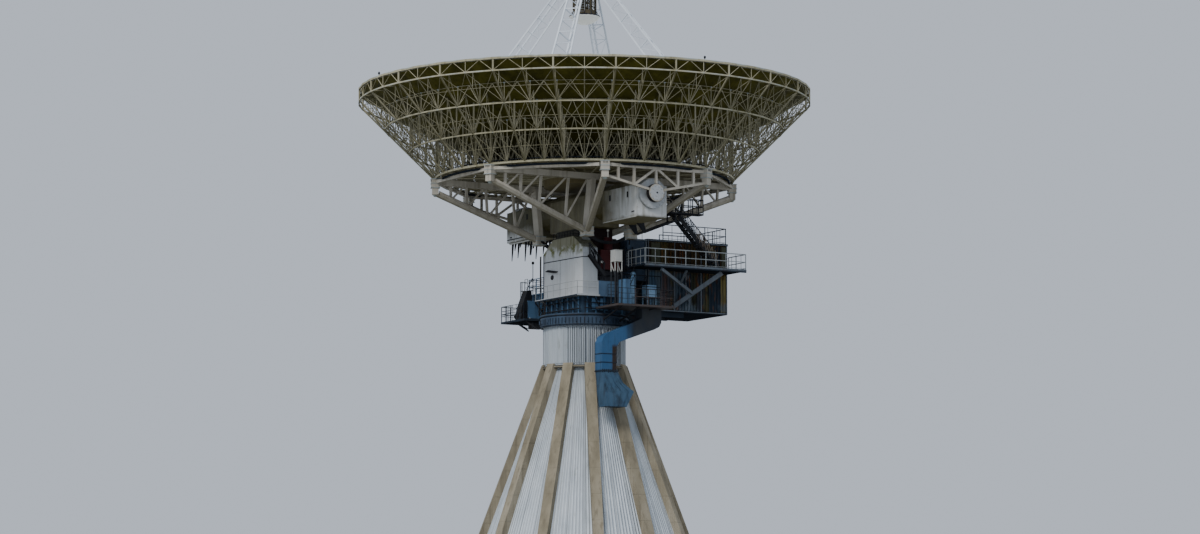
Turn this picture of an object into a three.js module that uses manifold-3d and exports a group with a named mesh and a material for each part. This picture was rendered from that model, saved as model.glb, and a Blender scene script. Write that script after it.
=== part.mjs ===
// Steerable radio telescope, a 1:2 scale model, in millimetres with +Z up.
// The origin is on the ground at the centre of the tower. The dish points straight up at rest.
// The elevation axis runs along Y, and the equipment cabin hangs out along +X.
import * as THREE from 'three';
import { mergeVertices } from 'three/addons/utils/BufferGeometryUtils.js';
import Module from 'manifold-3d';

const wasm = await Module();
wasm.setup();

// Driving dimensions, millimetres of the model (half the full size)
const FIT_GAP = 0.3;
const AXIS_Z = 16600;

const TOWER_TOP_Z = 10950;
const TOWER_TOP_RADIUS = 1300;
const TOWER_BASE_RADIUS = 5300;
const TOWER_WALL = 160;
const RIB_COUNT = 12;
const RIB_WIDTH = 365;
const RIB_PROUD_TOP = 200;
const RIB_PROUD_BASE = 300;
const RIB_CAP_HEIGHT = 70;
const LEDGE_HEIGHT = 90;
const LEDGE_RADIUS = 1490;
const NECK_RADIUS = 1450;
const NECK_WALL = 150;
const NECK_TOP_Z = 12450;
const NECK_FLUTES = 36;
const FLUTE_DEPTH = 20;
const DOOR_ANGLE = 232.5;
const DOOR_WIDTH = 600;
const DOOR_HEIGHT = 1100;

const SKIRT_RADIUS = 1560;
const SKIRT_INNER_RADIUS = 1485;
const SKIRT_BOTTOM_Z = 12325;
const TABLE_BOTTOM_Z = 12620;
const TABLE_TOP_Z = 12755;

const PEDESTAL_HALF_X = 870;
const PEDESTAL_HALF_Y = 1400;
const PEDESTAL_BOTTOM_Z = 13400;
const PEDESTAL_SHOULDER_Z = 15050;
const PEDESTAL_TOP_Z = 15500;
const RECESS_X = [-280, 880];
const RECESS_BACK_Y = -1000;
const RECESS_FLOOR_Z = 13900;
const BEAM_HALF_X = 600;
const BEAM_UNDER = 800;
const BEAM_OVER = 300;
const BEAM_END_Y = 4600;
const TUBE_FROM_Y = 1400;
const TUBE_TO_Y = 2300;
const TUBE_RADIUS = 590;
const HOUSING_RADIUS = 525;

const CABIN_X = [1800, 5100];
const CABIN_HALF_Y = 1350;
const CABIN_FLOOR_Z = 12950;
const CABIN_ROOF_Z = 15500;
const CABIN_WALL = 60;
const ANNEX_X = [960, 1769.5];
const ANNEX_Z = [14000, 15420];
const BALCONY_X = [900, 5100];
const BALCONY_Y = -2650;
const BALCONY_Z = 14450;
const RAIL_HEIGHT = 550;
const RAIL_BAR = 24;

const DISH_RADIUS = 8000;
const DISH_FOCUS = 5600;
const VERTEX_Z = 17920;
const SHELL_THICKNESS = 60;
const HUB_RING_RADIUS = 5280;
const HUB_RING_Z = 17600;
const SPOKES = 48;
const RINGS = [[6200, 18525], [7050, 19350], [8000, 20300]];
const FRAME_RADIUS = 5300;
const FRAME_Z = AXIS_Z + 850;
const CHORD = 110;
const NODE_X = 880;
const NODE_Y = 1700;
const NODE_DROP = 1035;
const PIPE_RADIUS = 125;
const HUB_RADIUS = 305;
const CORNER_HALF = 145;
const LEG_COUNT = 4;
const LEG_BAYS = 6;
const LEG_FOOT_RADIUS = 4900;
const LEG_HEAD_RADIUS = 530;
const APEX_Z = 24900;
const CAGE_RADIUS = 440;
const CAGE_BOTTOM_Z = 23520;
const SUBREFLECTOR_RADIUS = 550;

const UP = new THREE.Vector3(0, 0, 1);
const { cos, sin, PI } = Math;
const radians = (degrees) => degrees * PI / 180;
const polar = (radius, degrees, z) => [radius * cos(radians(degrees)), radius * sin(radians(degrees)), z];

// A closed triangle mesh as a solid that can be joined and cut
function solidFrom(geometry) {
  const bare = geometry.clone();
  bare.deleteAttribute('normal');
  bare.deleteAttribute('uv');
  const merged = mergeVertices(bare, 1e-3);
  const corners = merged.index.array;
  const kept = [];
  for (let i = 0; i < corners.length; i += 3) {
    const [a, b, c] = [corners[i], corners[i + 1], corners[i + 2]];
    if (a !== b && b !== c && c !== a) kept.push(a, b, c);
  }
  const vertProperties = new Float32Array(merged.attributes.position.array);
  const triVerts = new Uint32Array(kept);
  return new wasm.Manifold(new wasm.Mesh({ numProp: 3, vertProperties, triVerts }));
}

function join(...solids) {
  return solids.flat().reduce((whole, piece) => whole.add(piece));
}

function block([x0, x1], [y0, y1], [z0, z1]) {
  const geometry = new THREE.BoxGeometry(x1 - x0, y1 - y0, z1 - z0);
  return solidFrom(geometry.translate((x0 + x1) / 2, (y0 + y1) / 2, (z0 + z1) / 2));
}

// The matrix that turns a shape made along +Z so that it runs from one point to another
function alongLine(from, to) {
  const start = new THREE.Vector3(...from);
  const along = new THREE.Vector3(...to).sub(start).normalize();
  const level = new THREE.Vector3().crossVectors(UP, along);
  if (level.length() < 1e-6) level.set(0, 1, 0);
  level.normalize();
  const upright = new THREE.Vector3().crossVectors(along, level);
  return new THREE.Matrix4().makeBasis(level, upright, along).setPosition(start);
}

function distance(from, to) {
  return new THREE.Vector3(...from).distanceTo(new THREE.Vector3(...to));
}

// A square or flat bar between two points: width is its level side, depth its upright side
function bar(from, to, width, depth = width) {
  const length = distance(from, to);
  const geometry = new THREE.BoxGeometry(width, depth, length).translate(0, 0, length / 2);
  return solidFrom(geometry.applyMatrix4(alongLine(from, to)));
}

function pipe(from, to, radius, sides = 8) {
  const length = distance(from, to);
  const geometry = new THREE.CylinderGeometry(radius, radius, length, sides).rotateX(PI / 2);
  return solidFrom(geometry.translate(0, 0, length / 2).applyMatrix4(alongLine(from, to)));
}

// An outline in one of the three upright or level planes, made thick between two places
const PLANES = {
  xy: () => new THREE.Matrix4(),
  xz: () => new THREE.Matrix4().makeBasis(
    new THREE.Vector3(1, 0, 0), new THREE.Vector3(0, 0, 1), new THREE.Vector3(0, -1, 0)),
  yz: () => new THREE.Matrix4().makeBasis(
    new THREE.Vector3(0, 1, 0), new THREE.Vector3(0, 0, 1), new THREE.Vector3(1, 0, 0)),
};

function slab(outline, plane, [from, to], holes = []) {
  const shape = new THREE.Shape(outline.map(([u, v]) => new THREE.Vector2(u, v)));
  shape.holes = holes.map((hole) => new THREE.Path(hole.map(([u, v]) => new THREE.Vector2(u, v))));
  const geometry = new THREE.ExtrudeGeometry(shape, { depth: to - from, bevelEnabled: false });
  geometry.translate(0, 0, plane === 'xz' ? -to : from);
  return solidFrom(geometry.applyMatrix4(PLANES[plane]()));
}

// A closed outline of [radius, z] points, either way round, turned about the Z axis
function turned(outline, segments) {
  const points = outline.map(([r, z]) => new THREE.Vector2(r, z));
  if (THREE.ShapeUtils.area(points) < 0) points.reverse();
  return solidFrom(new THREE.LatheGeometry([...points, points[0]], segments).rotateX(PI / 2));
}

function turnedAboutY(outline, segments) {
  return turned(outline, segments).rotate([90, 0, 0]);
}

function arcPoints(centre, radius, fromDegrees, toDegrees, steps) {
  return Array.from({ length: steps + 1 }, (_, i) => {
    const angle = radians(fromDegrees + (toDegrees - fromDegrees) * i / steps);
    return [centre[0] + radius * cos(angle), centre[1] + radius * sin(angle)];
  });
}

const mirroredY = (solid) => solid.mirror([0, 1, 0]);

// Paints, from the photograph
function paint(color, roughness = 0.7, metalness = 0.0) {
  return { color, roughness, metalness };
}
const PAINTS = {
  concrete: paint(0xb3a890, 0.9),
  cladding: paint(0xc4c9cc, 0.6),
  white: paint(0xc9c9c4, 0.55),
  lattice: paint(0xa8a896, 0.6),
  surface: paint(0xd5d7d5, 0.5),
  blue: paint(0x3a6fa0, 0.6),
  slate: paint(0x39424d, 0.7),
  rust: paint(0x6b5140, 0.85),
  red: paint(0x6a1f1f, 0.6),
  dark: paint(0x23262b, 0.7),
};

const telescope = new THREE.Group();

function addNode(name, solid, look) {
  const mesh = solid.getMesh();
  const geometry = new THREE.BufferGeometry();
  geometry.setAttribute('position', new THREE.BufferAttribute(new Float32Array(mesh.vertProperties), 3));
  geometry.setIndex(new THREE.BufferAttribute(new Uint32Array(mesh.triVerts), 1));
  const node = new THREE.Mesh(geometry, new THREE.MeshStandardMaterial(PAINTS[look]));
  node.name = name;
  telescope.add(node);
  return node;
}

// Tower
const towerSlope = (TOWER_BASE_RADIUS - TOWER_TOP_RADIUS) / TOWER_TOP_Z;
const towerRadius = (z) => TOWER_BASE_RADIUS - towerSlope * z;

function doorway(extra) {
  const inside = towerRadius(0) - 900;
  const outside = towerRadius(0) + 300;
  const half = DOOR_WIDTH / 2 - extra;
  return block([inside, outside], [-half, half], [100 + extra, 100 + DOOR_HEIGHT - extra])
    .rotate([0, 0, DOOR_ANGLE]);
}

function towerWall() {
  const top = TOWER_TOP_Z - LEDGE_HEIGHT;
  const shell = turned([
    [TOWER_BASE_RADIUS, 0], [towerRadius(top), top],
    [towerRadius(top) - TOWER_WALL, top], [TOWER_BASE_RADIUS - TOWER_WALL, 0],
  ], SPOKES);
  return shell.subtract(doorway(0));
}

// The door leaf fills the middle of the wall's thickness
function towerDoor() {
  const leafRadius = [-110, -50];
  const layer = turned([
    [towerRadius(0) + leafRadius[1], 0], [towerRadius(TOWER_TOP_Z) + leafRadius[1], TOWER_TOP_Z],
    [towerRadius(TOWER_TOP_Z) + leafRadius[0], TOWER_TOP_Z], [towerRadius(0) + leafRadius[0], 0],
  ], SPOKES);
  return layer.intersect(doorway(2));
}

// The ribs stand proud of the wall, carry the ledge ring that the neck stands on and end just above it
function towerRibs() {
  const top = TOWER_TOP_Z + RIB_CAP_HEIGHT;
  const under = TOWER_TOP_Z - LEDGE_HEIGHT + FIT_GAP;
  const outline = [
    [towerRadius(0) - 400, 0], [towerRadius(0) + RIB_PROUD_BASE, 0],
    [TOWER_TOP_RADIUS + RIB_PROUD_TOP, top], [TOWER_TOP_RADIUS - 80, top],
  ];
  const fin = slab(outline, 'xz', [-RIB_WIDTH / 2, RIB_WIDTH / 2]);
  const fins = Array.from({ length: RIB_COUNT }, (_, i) => fin.rotate([0, 0, 7.5 + i * 360 / RIB_COUNT]));
  const ledge = turned([
    [TOWER_TOP_RADIUS - 130, under], [LEDGE_RADIUS, under],
    [LEDGE_RADIUS, TOWER_TOP_Z], [TOWER_TOP_RADIUS - 130, TOWER_TOP_Z],
  ], SPOKES);
  const core = turned([
    [0, -10], [towerRadius(-10) + 0.5, -10], [towerRadius(under) + 0.5, under], [0, under],
  ], SPOKES);
  const bore = turned([
    [0, TOWER_TOP_Z], [NECK_RADIUS + 3, TOWER_TOP_Z], [NECK_RADIUS + 3, top + 10], [0, top + 10],
  ], SPOKES);
  return join(ledge, fins).subtract(core).subtract(bore);
}

// The neck's cladding stands in upright flutes
function towerNeck() {
  const outer = [];
  for (let i = 0; i < NECK_FLUTES; i++) {
    for (const [part, radius] of [[0, NECK_RADIUS], [0.5, NECK_RADIUS - FLUTE_DEPTH]]) {
      const angle = radians((i + part) * 360 / NECK_FLUTES);
      outer.push([radius * cos(angle), radius * sin(angle)]);
    }
  }
  const inner = arcPoints([0, 0], NECK_RADIUS - NECK_WALL, 360, 360 / 24, 23);
  return slab(outer, 'xy', [TOWER_TOP_Z + FIT_GAP, NECK_TOP_Z], [inner]);
}

function towerBody() {
  addNode('tower_wall', towerWall(), 'cladding');
  addNode('tower_ribs', towerRibs(), 'concrete');
  addNode('tower_neck', towerNeck(), 'cladding');
  addNode('tower_door', towerDoor(), 'slate');
  addNode('tower_floor', turned([[0, 0], [towerRadius(100) - TOWER_WALL - 3, 0],
    [towerRadius(100) - TOWER_WALL - 3, 90], [0, 90]], SPOKES), 'concrete');
  addNode('bearing_race', turned([
    [NECK_RADIUS - NECK_WALL, NECK_TOP_Z + FIT_GAP], [NECK_RADIUS - 20, NECK_TOP_Z + FIT_GAP],
    [NECK_RADIUS - 20, NECK_TOP_Z + 160], [NECK_RADIUS - NECK_WALL, NECK_TOP_Z + 160],
  ], SPOKES), 'dark');
}

// Alidade, the part that turns about the upright axis
function turntable() {
  return turned([
    [SKIRT_INNER_RADIUS, SKIRT_BOTTOM_Z], [SKIRT_RADIUS, SKIRT_BOTTOM_Z], [SKIRT_RADIUS, TABLE_TOP_Z],
    [0, TABLE_TOP_Z], [0, TABLE_BOTTOM_Z], [SKIRT_INNER_RADIUS, TABLE_BOTTOM_Z],
  ], SPOKES);
}

// The base is a box whose four faces carry upright ribs, drawn as one toothed plan
function alidadeBase() {
  const [halfX, halfY, proud, thick] = [880, 1320, 55, 60];
  const teeth = (along, count, place) => {
    const points = [];
    for (let i = 0; i < count; i++) {
      const middle = -along + 2 * along * (i + 0.5) / count;
      const sides = [[-thick / 2, 0], [-thick / 2, proud], [thick / 2, proud], [thick / 2, 0]];
      points.push(...sides.map(([shift, out]) => place(middle + shift, out)));
    }
    return points;
  };
  const plan = [
    ...teeth(halfY, 7, (t, out) => [halfX + out + 30, t]), [halfX + 30, halfY],
    ...teeth(halfX, 5, (t, out) => [30 - t, halfY + out]), [30 - halfX, halfY],
    ...teeth(halfY, 7, (t, out) => [30 - halfX - out, -t]), [30 - halfX, -halfY],
    ...teeth(halfX, 5, (t, out) => [30 + t, -halfY - out]), [30 + halfX, -halfY],
  ];
  return slab(plan, 'xy', [TABLE_TOP_Z + FIT_GAP, 13344]);
}

// Sloping shoulders, an open recess for the drive on both long sides and a narrower neck under the crossbeam
function pedestal() {
  const side = [
    [PEDESTAL_HALF_Y, PEDESTAL_BOTTOM_Z], [PEDESTAL_HALF_Y, PEDESTAL_SHOULDER_Z], [720, PEDESTAL_TOP_Z],
  ];
  const outline = [...side, ...side.map(([y, z]) => [-y, z]).reverse()];
  const body = slab(outline, 'yz', [-PEDESTAL_HALF_X, PEDESTAL_HALF_X]);
  const neck = block([-620, 620], [-900, 900], [PEDESTAL_TOP_Z - 250, AXIS_Z - BEAM_UNDER - FIT_GAP]);
  const recessY = [-PEDESTAL_HALF_Y - 10, RECESS_BACK_Y];
  const recess = block(RECESS_X, recessY, [RECESS_FLOOR_Z, PEDESTAL_TOP_Z + 10]);
  return body.subtract(recess).subtract(mirroredY(recess)).add(neck);
}

function crossbeam() {
  const low = AXIS_Z - BEAM_UNDER;
  const high = AXIS_Z + BEAM_OVER;
  const across = [-BEAM_HALF_X, BEAM_HALF_X];
  const middle = block(across, [-TUBE_FROM_Y, TUBE_FROM_Y], [low, high]);
  const head = block(across, [-BEAM_END_Y, -TUBE_TO_Y], [low, high]);
  const tube = pipe([0, -TUBE_TO_Y - 50, AXIS_Z], [0, TUBE_TO_Y + 50, AXIS_Z], TUBE_RADIUS, 16);
  return join(middle, head, mirroredY(head), tube);
}

// A drum on the end of the crossbeam, with a bore for the hub's shaft
function bearingHousing() {
  const face = -BEAM_END_Y - FIT_GAP;
  const drum = pipe([0, face, AXIS_Z], [0, face - 100, AXIS_Z], HOUSING_RADIUS, 24);
  const saddle = pipe([0, face, AXIS_Z], [0, -4150, AXIS_Z], HOUSING_RADIUS, 24)
    .intersect(block([-700, 700], [-4700, -4100], [AXIS_Z + BEAM_OVER + FIT_GAP, AXIS_Z + 700]));
  const bridge = block([-200, 200], [face - 60, -4500], [AXIS_Z + 320, AXIS_Z + 420]);
  const bore = pipe([0, face - 120, AXIS_Z], [0, face + 5, AXIS_Z], 165, 24);
  return join(drum, saddle, bridge).subtract(bore);
}

// The drive hangs on the back wall of the recess: a gearbox with a motor standing on it
function elevationDrive() {
  const gearbox = block([-140, 640], [-1390, RECESS_BACK_Y - FIT_GAP], [14310, 15000]);
  const motor = pipe([250, -1220, 15000 - 5], [250, -1220, 15450], 160, 12);
  return join(gearbox, motor);
}

function cabinBeams() {
  const z = [12780, CABIN_FLOOR_Z - FIT_GAP];
  const beams = [-1100, 0, 1100].map((y) => block([966, 3400], [y - 60, y + 60], z));
  const ties = [1100, 2200, 3350].map((x) => block([x - 50, x + 50], [-1160, 1160], [z[0] + 40, z[1] - 30]));
  return join(beams, ties);
}

function cabinWalls() {
  const z = [CABIN_FLOOR_Z + 80 + FIT_GAP, CABIN_ROOF_Z - 80 - FIT_GAP];
  const outer = block(CABIN_X, [-CABIN_HALF_Y, CABIN_HALF_Y], z);
  const inner = block([CABIN_X[0] + CABIN_WALL, CABIN_X[1] - CABIN_WALL],
    [-CABIN_HALF_Y + CABIN_WALL, CABIN_HALF_Y - CABIN_WALL], [z[0] - 10, z[1] + 10]);
  return outer.subtract(inner).subtract(cabinDoorway(0));
}

function cabinDoorway(inset) {
  return block([4560 + inset, 4960 - inset], [-CABIN_HALF_Y - 10, -CABIN_HALF_Y + CABIN_WALL + 10],
    [BALCONY_Z + 20 + inset, BALCONY_Z + 920 - inset]);
}

function cabinDoor() {
  const inset = 2;
  return block([4560 + inset, 4960 - inset], [-CABIN_HALF_Y + 12, -CABIN_HALF_Y + 42],
    [BALCONY_Z + 20 + inset, BALCONY_Z + 920 - inset]);
}

// Passage between the pedestal and the cabin, with a roof that falls a little towards the pedestal
function cabinAnnex() {
  const [x0, x1] = ANNEX_X;
  const [low, high] = ANNEX_Z;
  return slab([[x0, low], [x1, low], [x1, high + 50], [x0 + 450, high + 50], [x0, high]], 'xz',
    [-CABIN_HALF_Y, CABIN_HALF_Y]);
}

// Railing: posts with a top rail and a knee rail along a path of level, square-cornered runs
function railing(path, z, spacing = 800, height = RAIL_HEIGHT) {
  const half = RAIL_BAR / 2;
  const around = (a, b) => [Math.min(a, b) - half, Math.max(a, b) + half];
  const pieces = [];
  for (let i = 0; i + 1 < path.length; i++) {
    const [from, to] = [path[i], path[i + 1]];
    for (const level of [0.5, 1]) {
      const at = z + height * level;
      pieces.push(block(around(from[0], to[0]), around(from[1], to[1]), around(at, at)));
    }
    const bays = Math.max(1, Math.round(distance([...from, 0], [...to, 0]) / spacing));
    for (let k = i === 0 ? 0 : 1; k <= bays; k++) {
      const x = from[0] + (to[0] - from[0]) * k / bays;
      const y = from[1] + (to[1] - from[1]) * k / bays;
      pieces.push(block(around(x, x), around(y, y), [z, z + height + half]));
    }
  }
  return join(pieces);
}

function balconyFloor() {
  const z = [BALCONY_Z - 50, BALCONY_Z];
  const wide = block(BALCONY_X, [BALCONY_Y, -CABIN_HALF_Y - FIT_GAP], z);
  const edge = block(BALCONY_X, [BALCONY_Y, BALCONY_Y + 60], [BALCONY_Z - 100, BALCONY_Z]);
  return join(wide, edge);
}

function balconyBraces() {
  const foot = [2780, -CABIN_HALF_Y - 80, CABIN_FLOOR_Z + 160];
  const far = [4150, BALCONY_Y + 120, BALCONY_Z - 150];
  const near = [1650, BALCONY_Y + 120, BALCONY_Z - 150];
  const along = (from, to, t) => from.map((value, i) => value + (to[i] - value) * t);
  const meeting = along(foot, far, 0.4);
  const small = along(near, meeting, 0.6);
  const arms = [
    bar(foot, far, 110, 150), bar(near, meeting, 80, 110),
    bar([2685, BALCONY_Y + 120, BALCONY_Z - 150], small, 60),
  ];
  const overhead = block([0, 6000], [-4000, 0], [BALCONY_Z - 100 - FIT_GAP, BALCONY_Z + 500]);
  const cabin = block(CABIN_X, [-CABIN_HALF_Y - FIT_GAP, 0], [12900, 15500]);
  return join(arms).subtract(overhead).subtract(cabin);
}

// Two stringers with treads between them and a handrail on posts over each
function accessStair(from, to, y, width, treads, depth) {
  const pieces = [];
  for (const side of [y, y + width]) {
    pieces.push(bar([from[0], side, from[1]], [to[0], side, to[1]], 30, depth));
    pieces.push(bar([from[0], side, from[1] + 420], [to[0], side, to[1] + 420], 22));
    for (const t of [0.06, 0.35, 0.65, 0.94]) {
      const x = from[0] + (to[0] - from[0]) * t;
      const z = from[1] + (to[1] - from[1]) * t;
      pieces.push(block([x - 11, x + 11], [side - 11, side + 11], [z, z + 425]));
    }
  }
  for (let i = 1; i <= treads; i++) {
    const t = i / (treads + 1);
    const x = from[0] + (to[0] - from[0]) * t;
    const z = from[1] + (to[1] - from[1]) * t;
    pieces.push(block([x - 60, x + 60], [y, y + width], [z - 9, z + 9]));
  }
  return join(pieces);
}

// Landing beside the crossbeam on two slanting struts, each hung from a plate at the beam's lower edge,
// and a walkway beside the stair
function upperPlatform() {
  const [x0, x1] = [1750, 2240];
  const [y0, y1] = [-3000, -2250];
  const z = 16275;
  const walkway = { x: 3100, y: -2660 };
  const plateZ = [z - 50, z];
  const pieces = [block([x0, x1], [y0, y1], plateZ), block([x1 - 10, walkway.x], [y0, walkway.y], plateZ)];
  for (const y of [-2900, -2350]) {
    pieces.push(...platformStrut(y, z));
  }
  pieces.push(bar([2000, -2900, 15985], [2000, -2350, 15985], 40));
  const [left, right, end] = [x0 + 12, x1 - 12, walkway.x - 12];
  const [near, middle, far] = [y0 + 12, walkway.y - 12, y1 - 12];
  const outer = railing([[end, near], [left, near], [left, far], [right, far]], z - 5, 480, 500);
  const inner = railing([[x1 + 12, middle], [end, middle], [end, near]], z - 5, 480, 500);
  return join(pieces, outer, inner);
}

function platformStrut(y, platformZ) {
  const under = AXIS_Z - BEAM_UNDER - FIT_GAP;
  const side = BEAM_HALF_X + FIT_GAP;
  const hanger = slab([
    [430, under], [side, under], [side, under + 220], [side + 50, under + 220], [800, 15500], [700, 15470],
  ], 'xz', [y - 22, y + 22]);
  const strut = bar([745, y, 15495], [2050, y, 16005], 50, 60);
  const post = bar([2000, y, 15970], [2000, y, platformZ - 20], 44);
  return [hanger, strut, post];
}

function instrumentCabinet() {
  const [x0, x1, y0, y1] = [-280, 20, -2600, -2300];
  const box = block([x0, x1], [y0, y1], [14475, 14850]);
  const legs = [];
  for (const x of [x0 + 14, x1 - 14]) {
    for (const y of [y0 + 14, y1 - 14]) {
      legs.push(block([x - 13, x + 13], [y - 13, y + 13], [12970 + FIT_GAP, 14480]));
    }
    legs.push(bar([x, y0 + 14, 13980], [x, y1 - 14, 14400], 20));
  }
  return join(box, legs);
}

function servicePlatform() {
  const plate = block([-350, 1935], [-2950, -1385], [12900, 12970]);
  const rails = railing([[1900, -2920], [350, -2920]], 12965, 520);
  return join(plate, rails);
}

// Sloped housing of the turning drive, and the panelled box beside it
function azimuthDrive() {
  const outline = [
    [-1080, 12832], [-720, 12832], [-600, 13550], [-620, 13900], [-780, 13900], [-1020, 13300],
  ];
  const housing = slab(outline, 'xz', [2720, 3080]);
  const motor = pipe([-930, 2620, 12975], [-930, 3160, 12975], 138, 12);
  return join(housing, motor);
}

function rearPlatform() {
  const lower = block([-1200, 900], [2200, 3950], [12760, 12832 - FIT_GAP]);
  const arm = block([-250, 800], [1380, 2229], [12780, 13150]);
  const rails = railing([[-450, 3930], [-1180, 3930], [-1180, 3230]], 12826, 360);
  return join(lower, arm, rails);
}

function driveBox() {
  const box = block([-350, 600], [2230, 3300], [12832, 13760]);
  const deck = block([-400, 650], [2230, 3350], [13750, 13800]);
  const rails = railing([[600, 3330], [-380, 3330], [-380, 2250], [600, 2250]], 13795, 500);
  return join(box, deck, rails);
}

// The duct comes out from under the cabin, bends down in front of the neck and ends in a flange
function cableDuct() {
  const outline = [
    [-635, 10675], [-50, 10675], [-50, 11480], [80, 11690], [1500, 12190], [1700, 12290],
    [1780, 12450], [1780, 12900 - FIT_GAP], [1000, 12900 - FIT_GAP], [1000, 12560],
    [-30, 12090], [-330, 12000], [-540, 11870], [-635, 11660],
  ];
  return slab(outline, 'xz', [-2300, -1850]);
}

function ductSkirt() {
  const rows = [
    [10674.7, -640, -20, -1860, -2310], [10250, -660, 130, -1980, -2480],
    [9950, -690, 460, -2070, -2640], [9400, -720, 60, -2260, -2820],
  ];
  return loft(rows.map(([z, x0, x1, yIn, yOut]) => [
    [x0, yOut, z], [x1, yOut, z], [x1, yIn, z], [x0, yIn, z],
  ]));
}

// A solid between four-cornered rings of points, first ring on top
function loft(sections) {
  const points = sections.flat();
  const faces = [];
  for (let s = 0; s + 1 < sections.length; s++) {
    for (let k = 0; k < 4; k++) {
      const [a, b] = [s * 4 + k, s * 4 + (k + 1) % 4];
      faces.push(a, a + 4, b, b, a + 4, b + 4);
    }
  }
  const last = (sections.length - 1) * 4;
  faces.push(0, 1, 2, 0, 2, 3, last, last + 2, last + 1, last, last + 3, last + 2);
  const geometry = new THREE.BufferGeometry();
  geometry.setAttribute('position', new THREE.BufferAttribute(new Float32Array(points.flat()), 3));
  geometry.setIndex(faces);
  return solidFrom(geometry);
}

function alidadeBody() {
  addNode('turntable', turntable(), 'blue');
  addNode('alidade_base', alidadeBase(), 'blue');
  const deckZ = [13344 + FIT_GAP, PEDESTAL_BOTTOM_Z - FIT_GAP];
  addNode('alidade_deck', block([-1150, 1000], [-1490, 1520], deckZ), 'white');
  addNode('pedestal', pedestal(), 'white');
  addNode('crossbeam', crossbeam(), 'white');
  const housing = bearingHousing();
  addNode('bearing_housing_front', housing, 'white');
  addNode('bearing_housing_rear', mirroredY(housing), 'white');
  const drive = elevationDrive();
  addNode('elevation_drive_front', drive, 'red');
  addNode('elevation_drive_rear', mirroredY(drive), 'red');
  addNode('cabin_beams', cabinBeams(), 'slate');
  addNode('cabin_annex', cabinAnnex(), 'slate');
  addNode('cabin_floor', block([CABIN_X[0], CABIN_X[1]], [-CABIN_HALF_Y, CABIN_HALF_Y],
    [CABIN_FLOOR_Z, CABIN_FLOOR_Z + 80]), 'slate');
  addNode('cabin_walls', cabinWalls(), 'rust');
  addNode('cabin_door', cabinDoor(), 'slate');
  addNode('cabin_roof', block([CABIN_X[0] - 30, CABIN_X[1] + 30], [-CABIN_HALF_Y - 30, CABIN_HALF_Y + 30],
    [CABIN_ROOF_Z - 80, CABIN_ROOF_Z]), 'slate');
  const roofPath = [[2450, -1320], [5070, -1320], [5070, 1320], [3900, 1320]];
  addNode('roof_railing', railing(roofPath, CABIN_ROOF_Z + FIT_GAP), 'slate');
  addNode('balcony_floor', balconyFloor(), 'slate');
  const edge = BALCONY_Y + 20;
  const balconyPath = [[920, -1500], [920, edge], [5080, edge], [5080, -1500]];
  addNode('balcony_railing', railing(balconyPath, BALCONY_Z + FIT_GAP), 'white');
  addNode('balcony_braces', balconyBraces(), 'slate');
  addNode('upper_platform', upperPlatform(), 'dark');
  addNode('access_stair', accessStair([2290, 16215], [3950, BALCONY_Z + 70], -2590, 340, 10, 150), 'dark');
  addNode('pedestal_stair', accessStair([-650, 14780], [-20, 14060], -1505.3, 90, 5, 110), 'dark');
  addNode('instrument_cabinet', instrumentCabinet(), 'white');
  addNode('service_platform', servicePlatform(), 'slate');
  addNode('service_tank', block([35, 255], [-2740, -2320], [12970 + FIT_GAP, 13850]), 'blue');
  addNode('azimuth_drive', azimuthDrive(), 'dark');
  addNode('drive_box', driveBox(), 'blue');
  addNode('rear_platform', rearPlatform(), 'slate');
  addNode('cable_duct', cableDuct(), 'blue');
  addNode('duct_skirt', ductSkirt(), 'blue');
}

// Reflector, the part that tips about the level axis
const dishZ = (radius) => VERTEX_Z + radius * radius / (4 * DISH_FOCUS);
const SHELL_RADII = [650, 2200, 3700, 5280, 6600, 7940];
const CORNER_LOW_Z = AXIS_Z + 475;

function corner(index) {
  return polar(FRAME_RADIUS, 22.5 + 45 * index, FRAME_Z);
}

function cornerBox(index) {
  const angle = 22.5 + 45 * index;
  const half = CORNER_HALF;
  const r = FRAME_RADIUS;
  const upper = block([r - half, r + half], [-half, half], [AXIS_Z + 640, HUB_RING_Z - 36]);
  const lower = block([r - 110, r + 110], [-120, 120], [AXIS_Z + 400, AXIS_Z + 641]);
  return join(upper, lower).rotate([0, 0, angle]);
}

function shortened(from, to, fromCut, toCut) {
  const length = distance(from, to);
  const point = (t) => from.map((value, i) => value + (to[i] - value) * t);
  return [point(fromCut / length), point(1 - toCut / length)];
}

// Side truss between two corner boxes, with the hub disc and shaft of the elevation axis
function sideTruss() {
  const y = corner(5)[1];
  const half = corner(6)[0];
  const hub = pipe([0, y - 60, AXIS_Z], [0, y + 110, AXIS_Z], HUB_RADIUS, 24);
  const shaft = pipe([0, y + 100, AXIS_Z], [0, -BEAM_END_Y - 20, AXIS_Z], 150, 24);
  const rise = (CORNER_LOW_Z - AXIS_Z - 80) / (half - 200);
  const chordZ = (x) => AXIS_Z + 80 + rise * Math.max(0, Math.abs(x) - 200);
  const pieces = [hub, shaft, bar(corner(5), corner(6), CHORD, CHORD), cornerBox(5), cornerBox(6)];
  for (const side of [-1, 1]) {
    pieces.push(bar([side * 150, y, chordZ(150)], [side * half, y, CORNER_LOW_Z], 90, 80));
    for (const x of [875, 1500]) {
      pieces.push(bar([side * x, y, chordZ(x) - 10], [side * x, y, FRAME_Z], 80));
    }
    pieces.push(bar([side * 875, y, chordZ(875)], [0, y, FRAME_Z], 80));
  }
  pieces.push(bar([0, y, AXIS_Z], [0, y, FRAME_Z], 80));
  return join(pieces);
}

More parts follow.
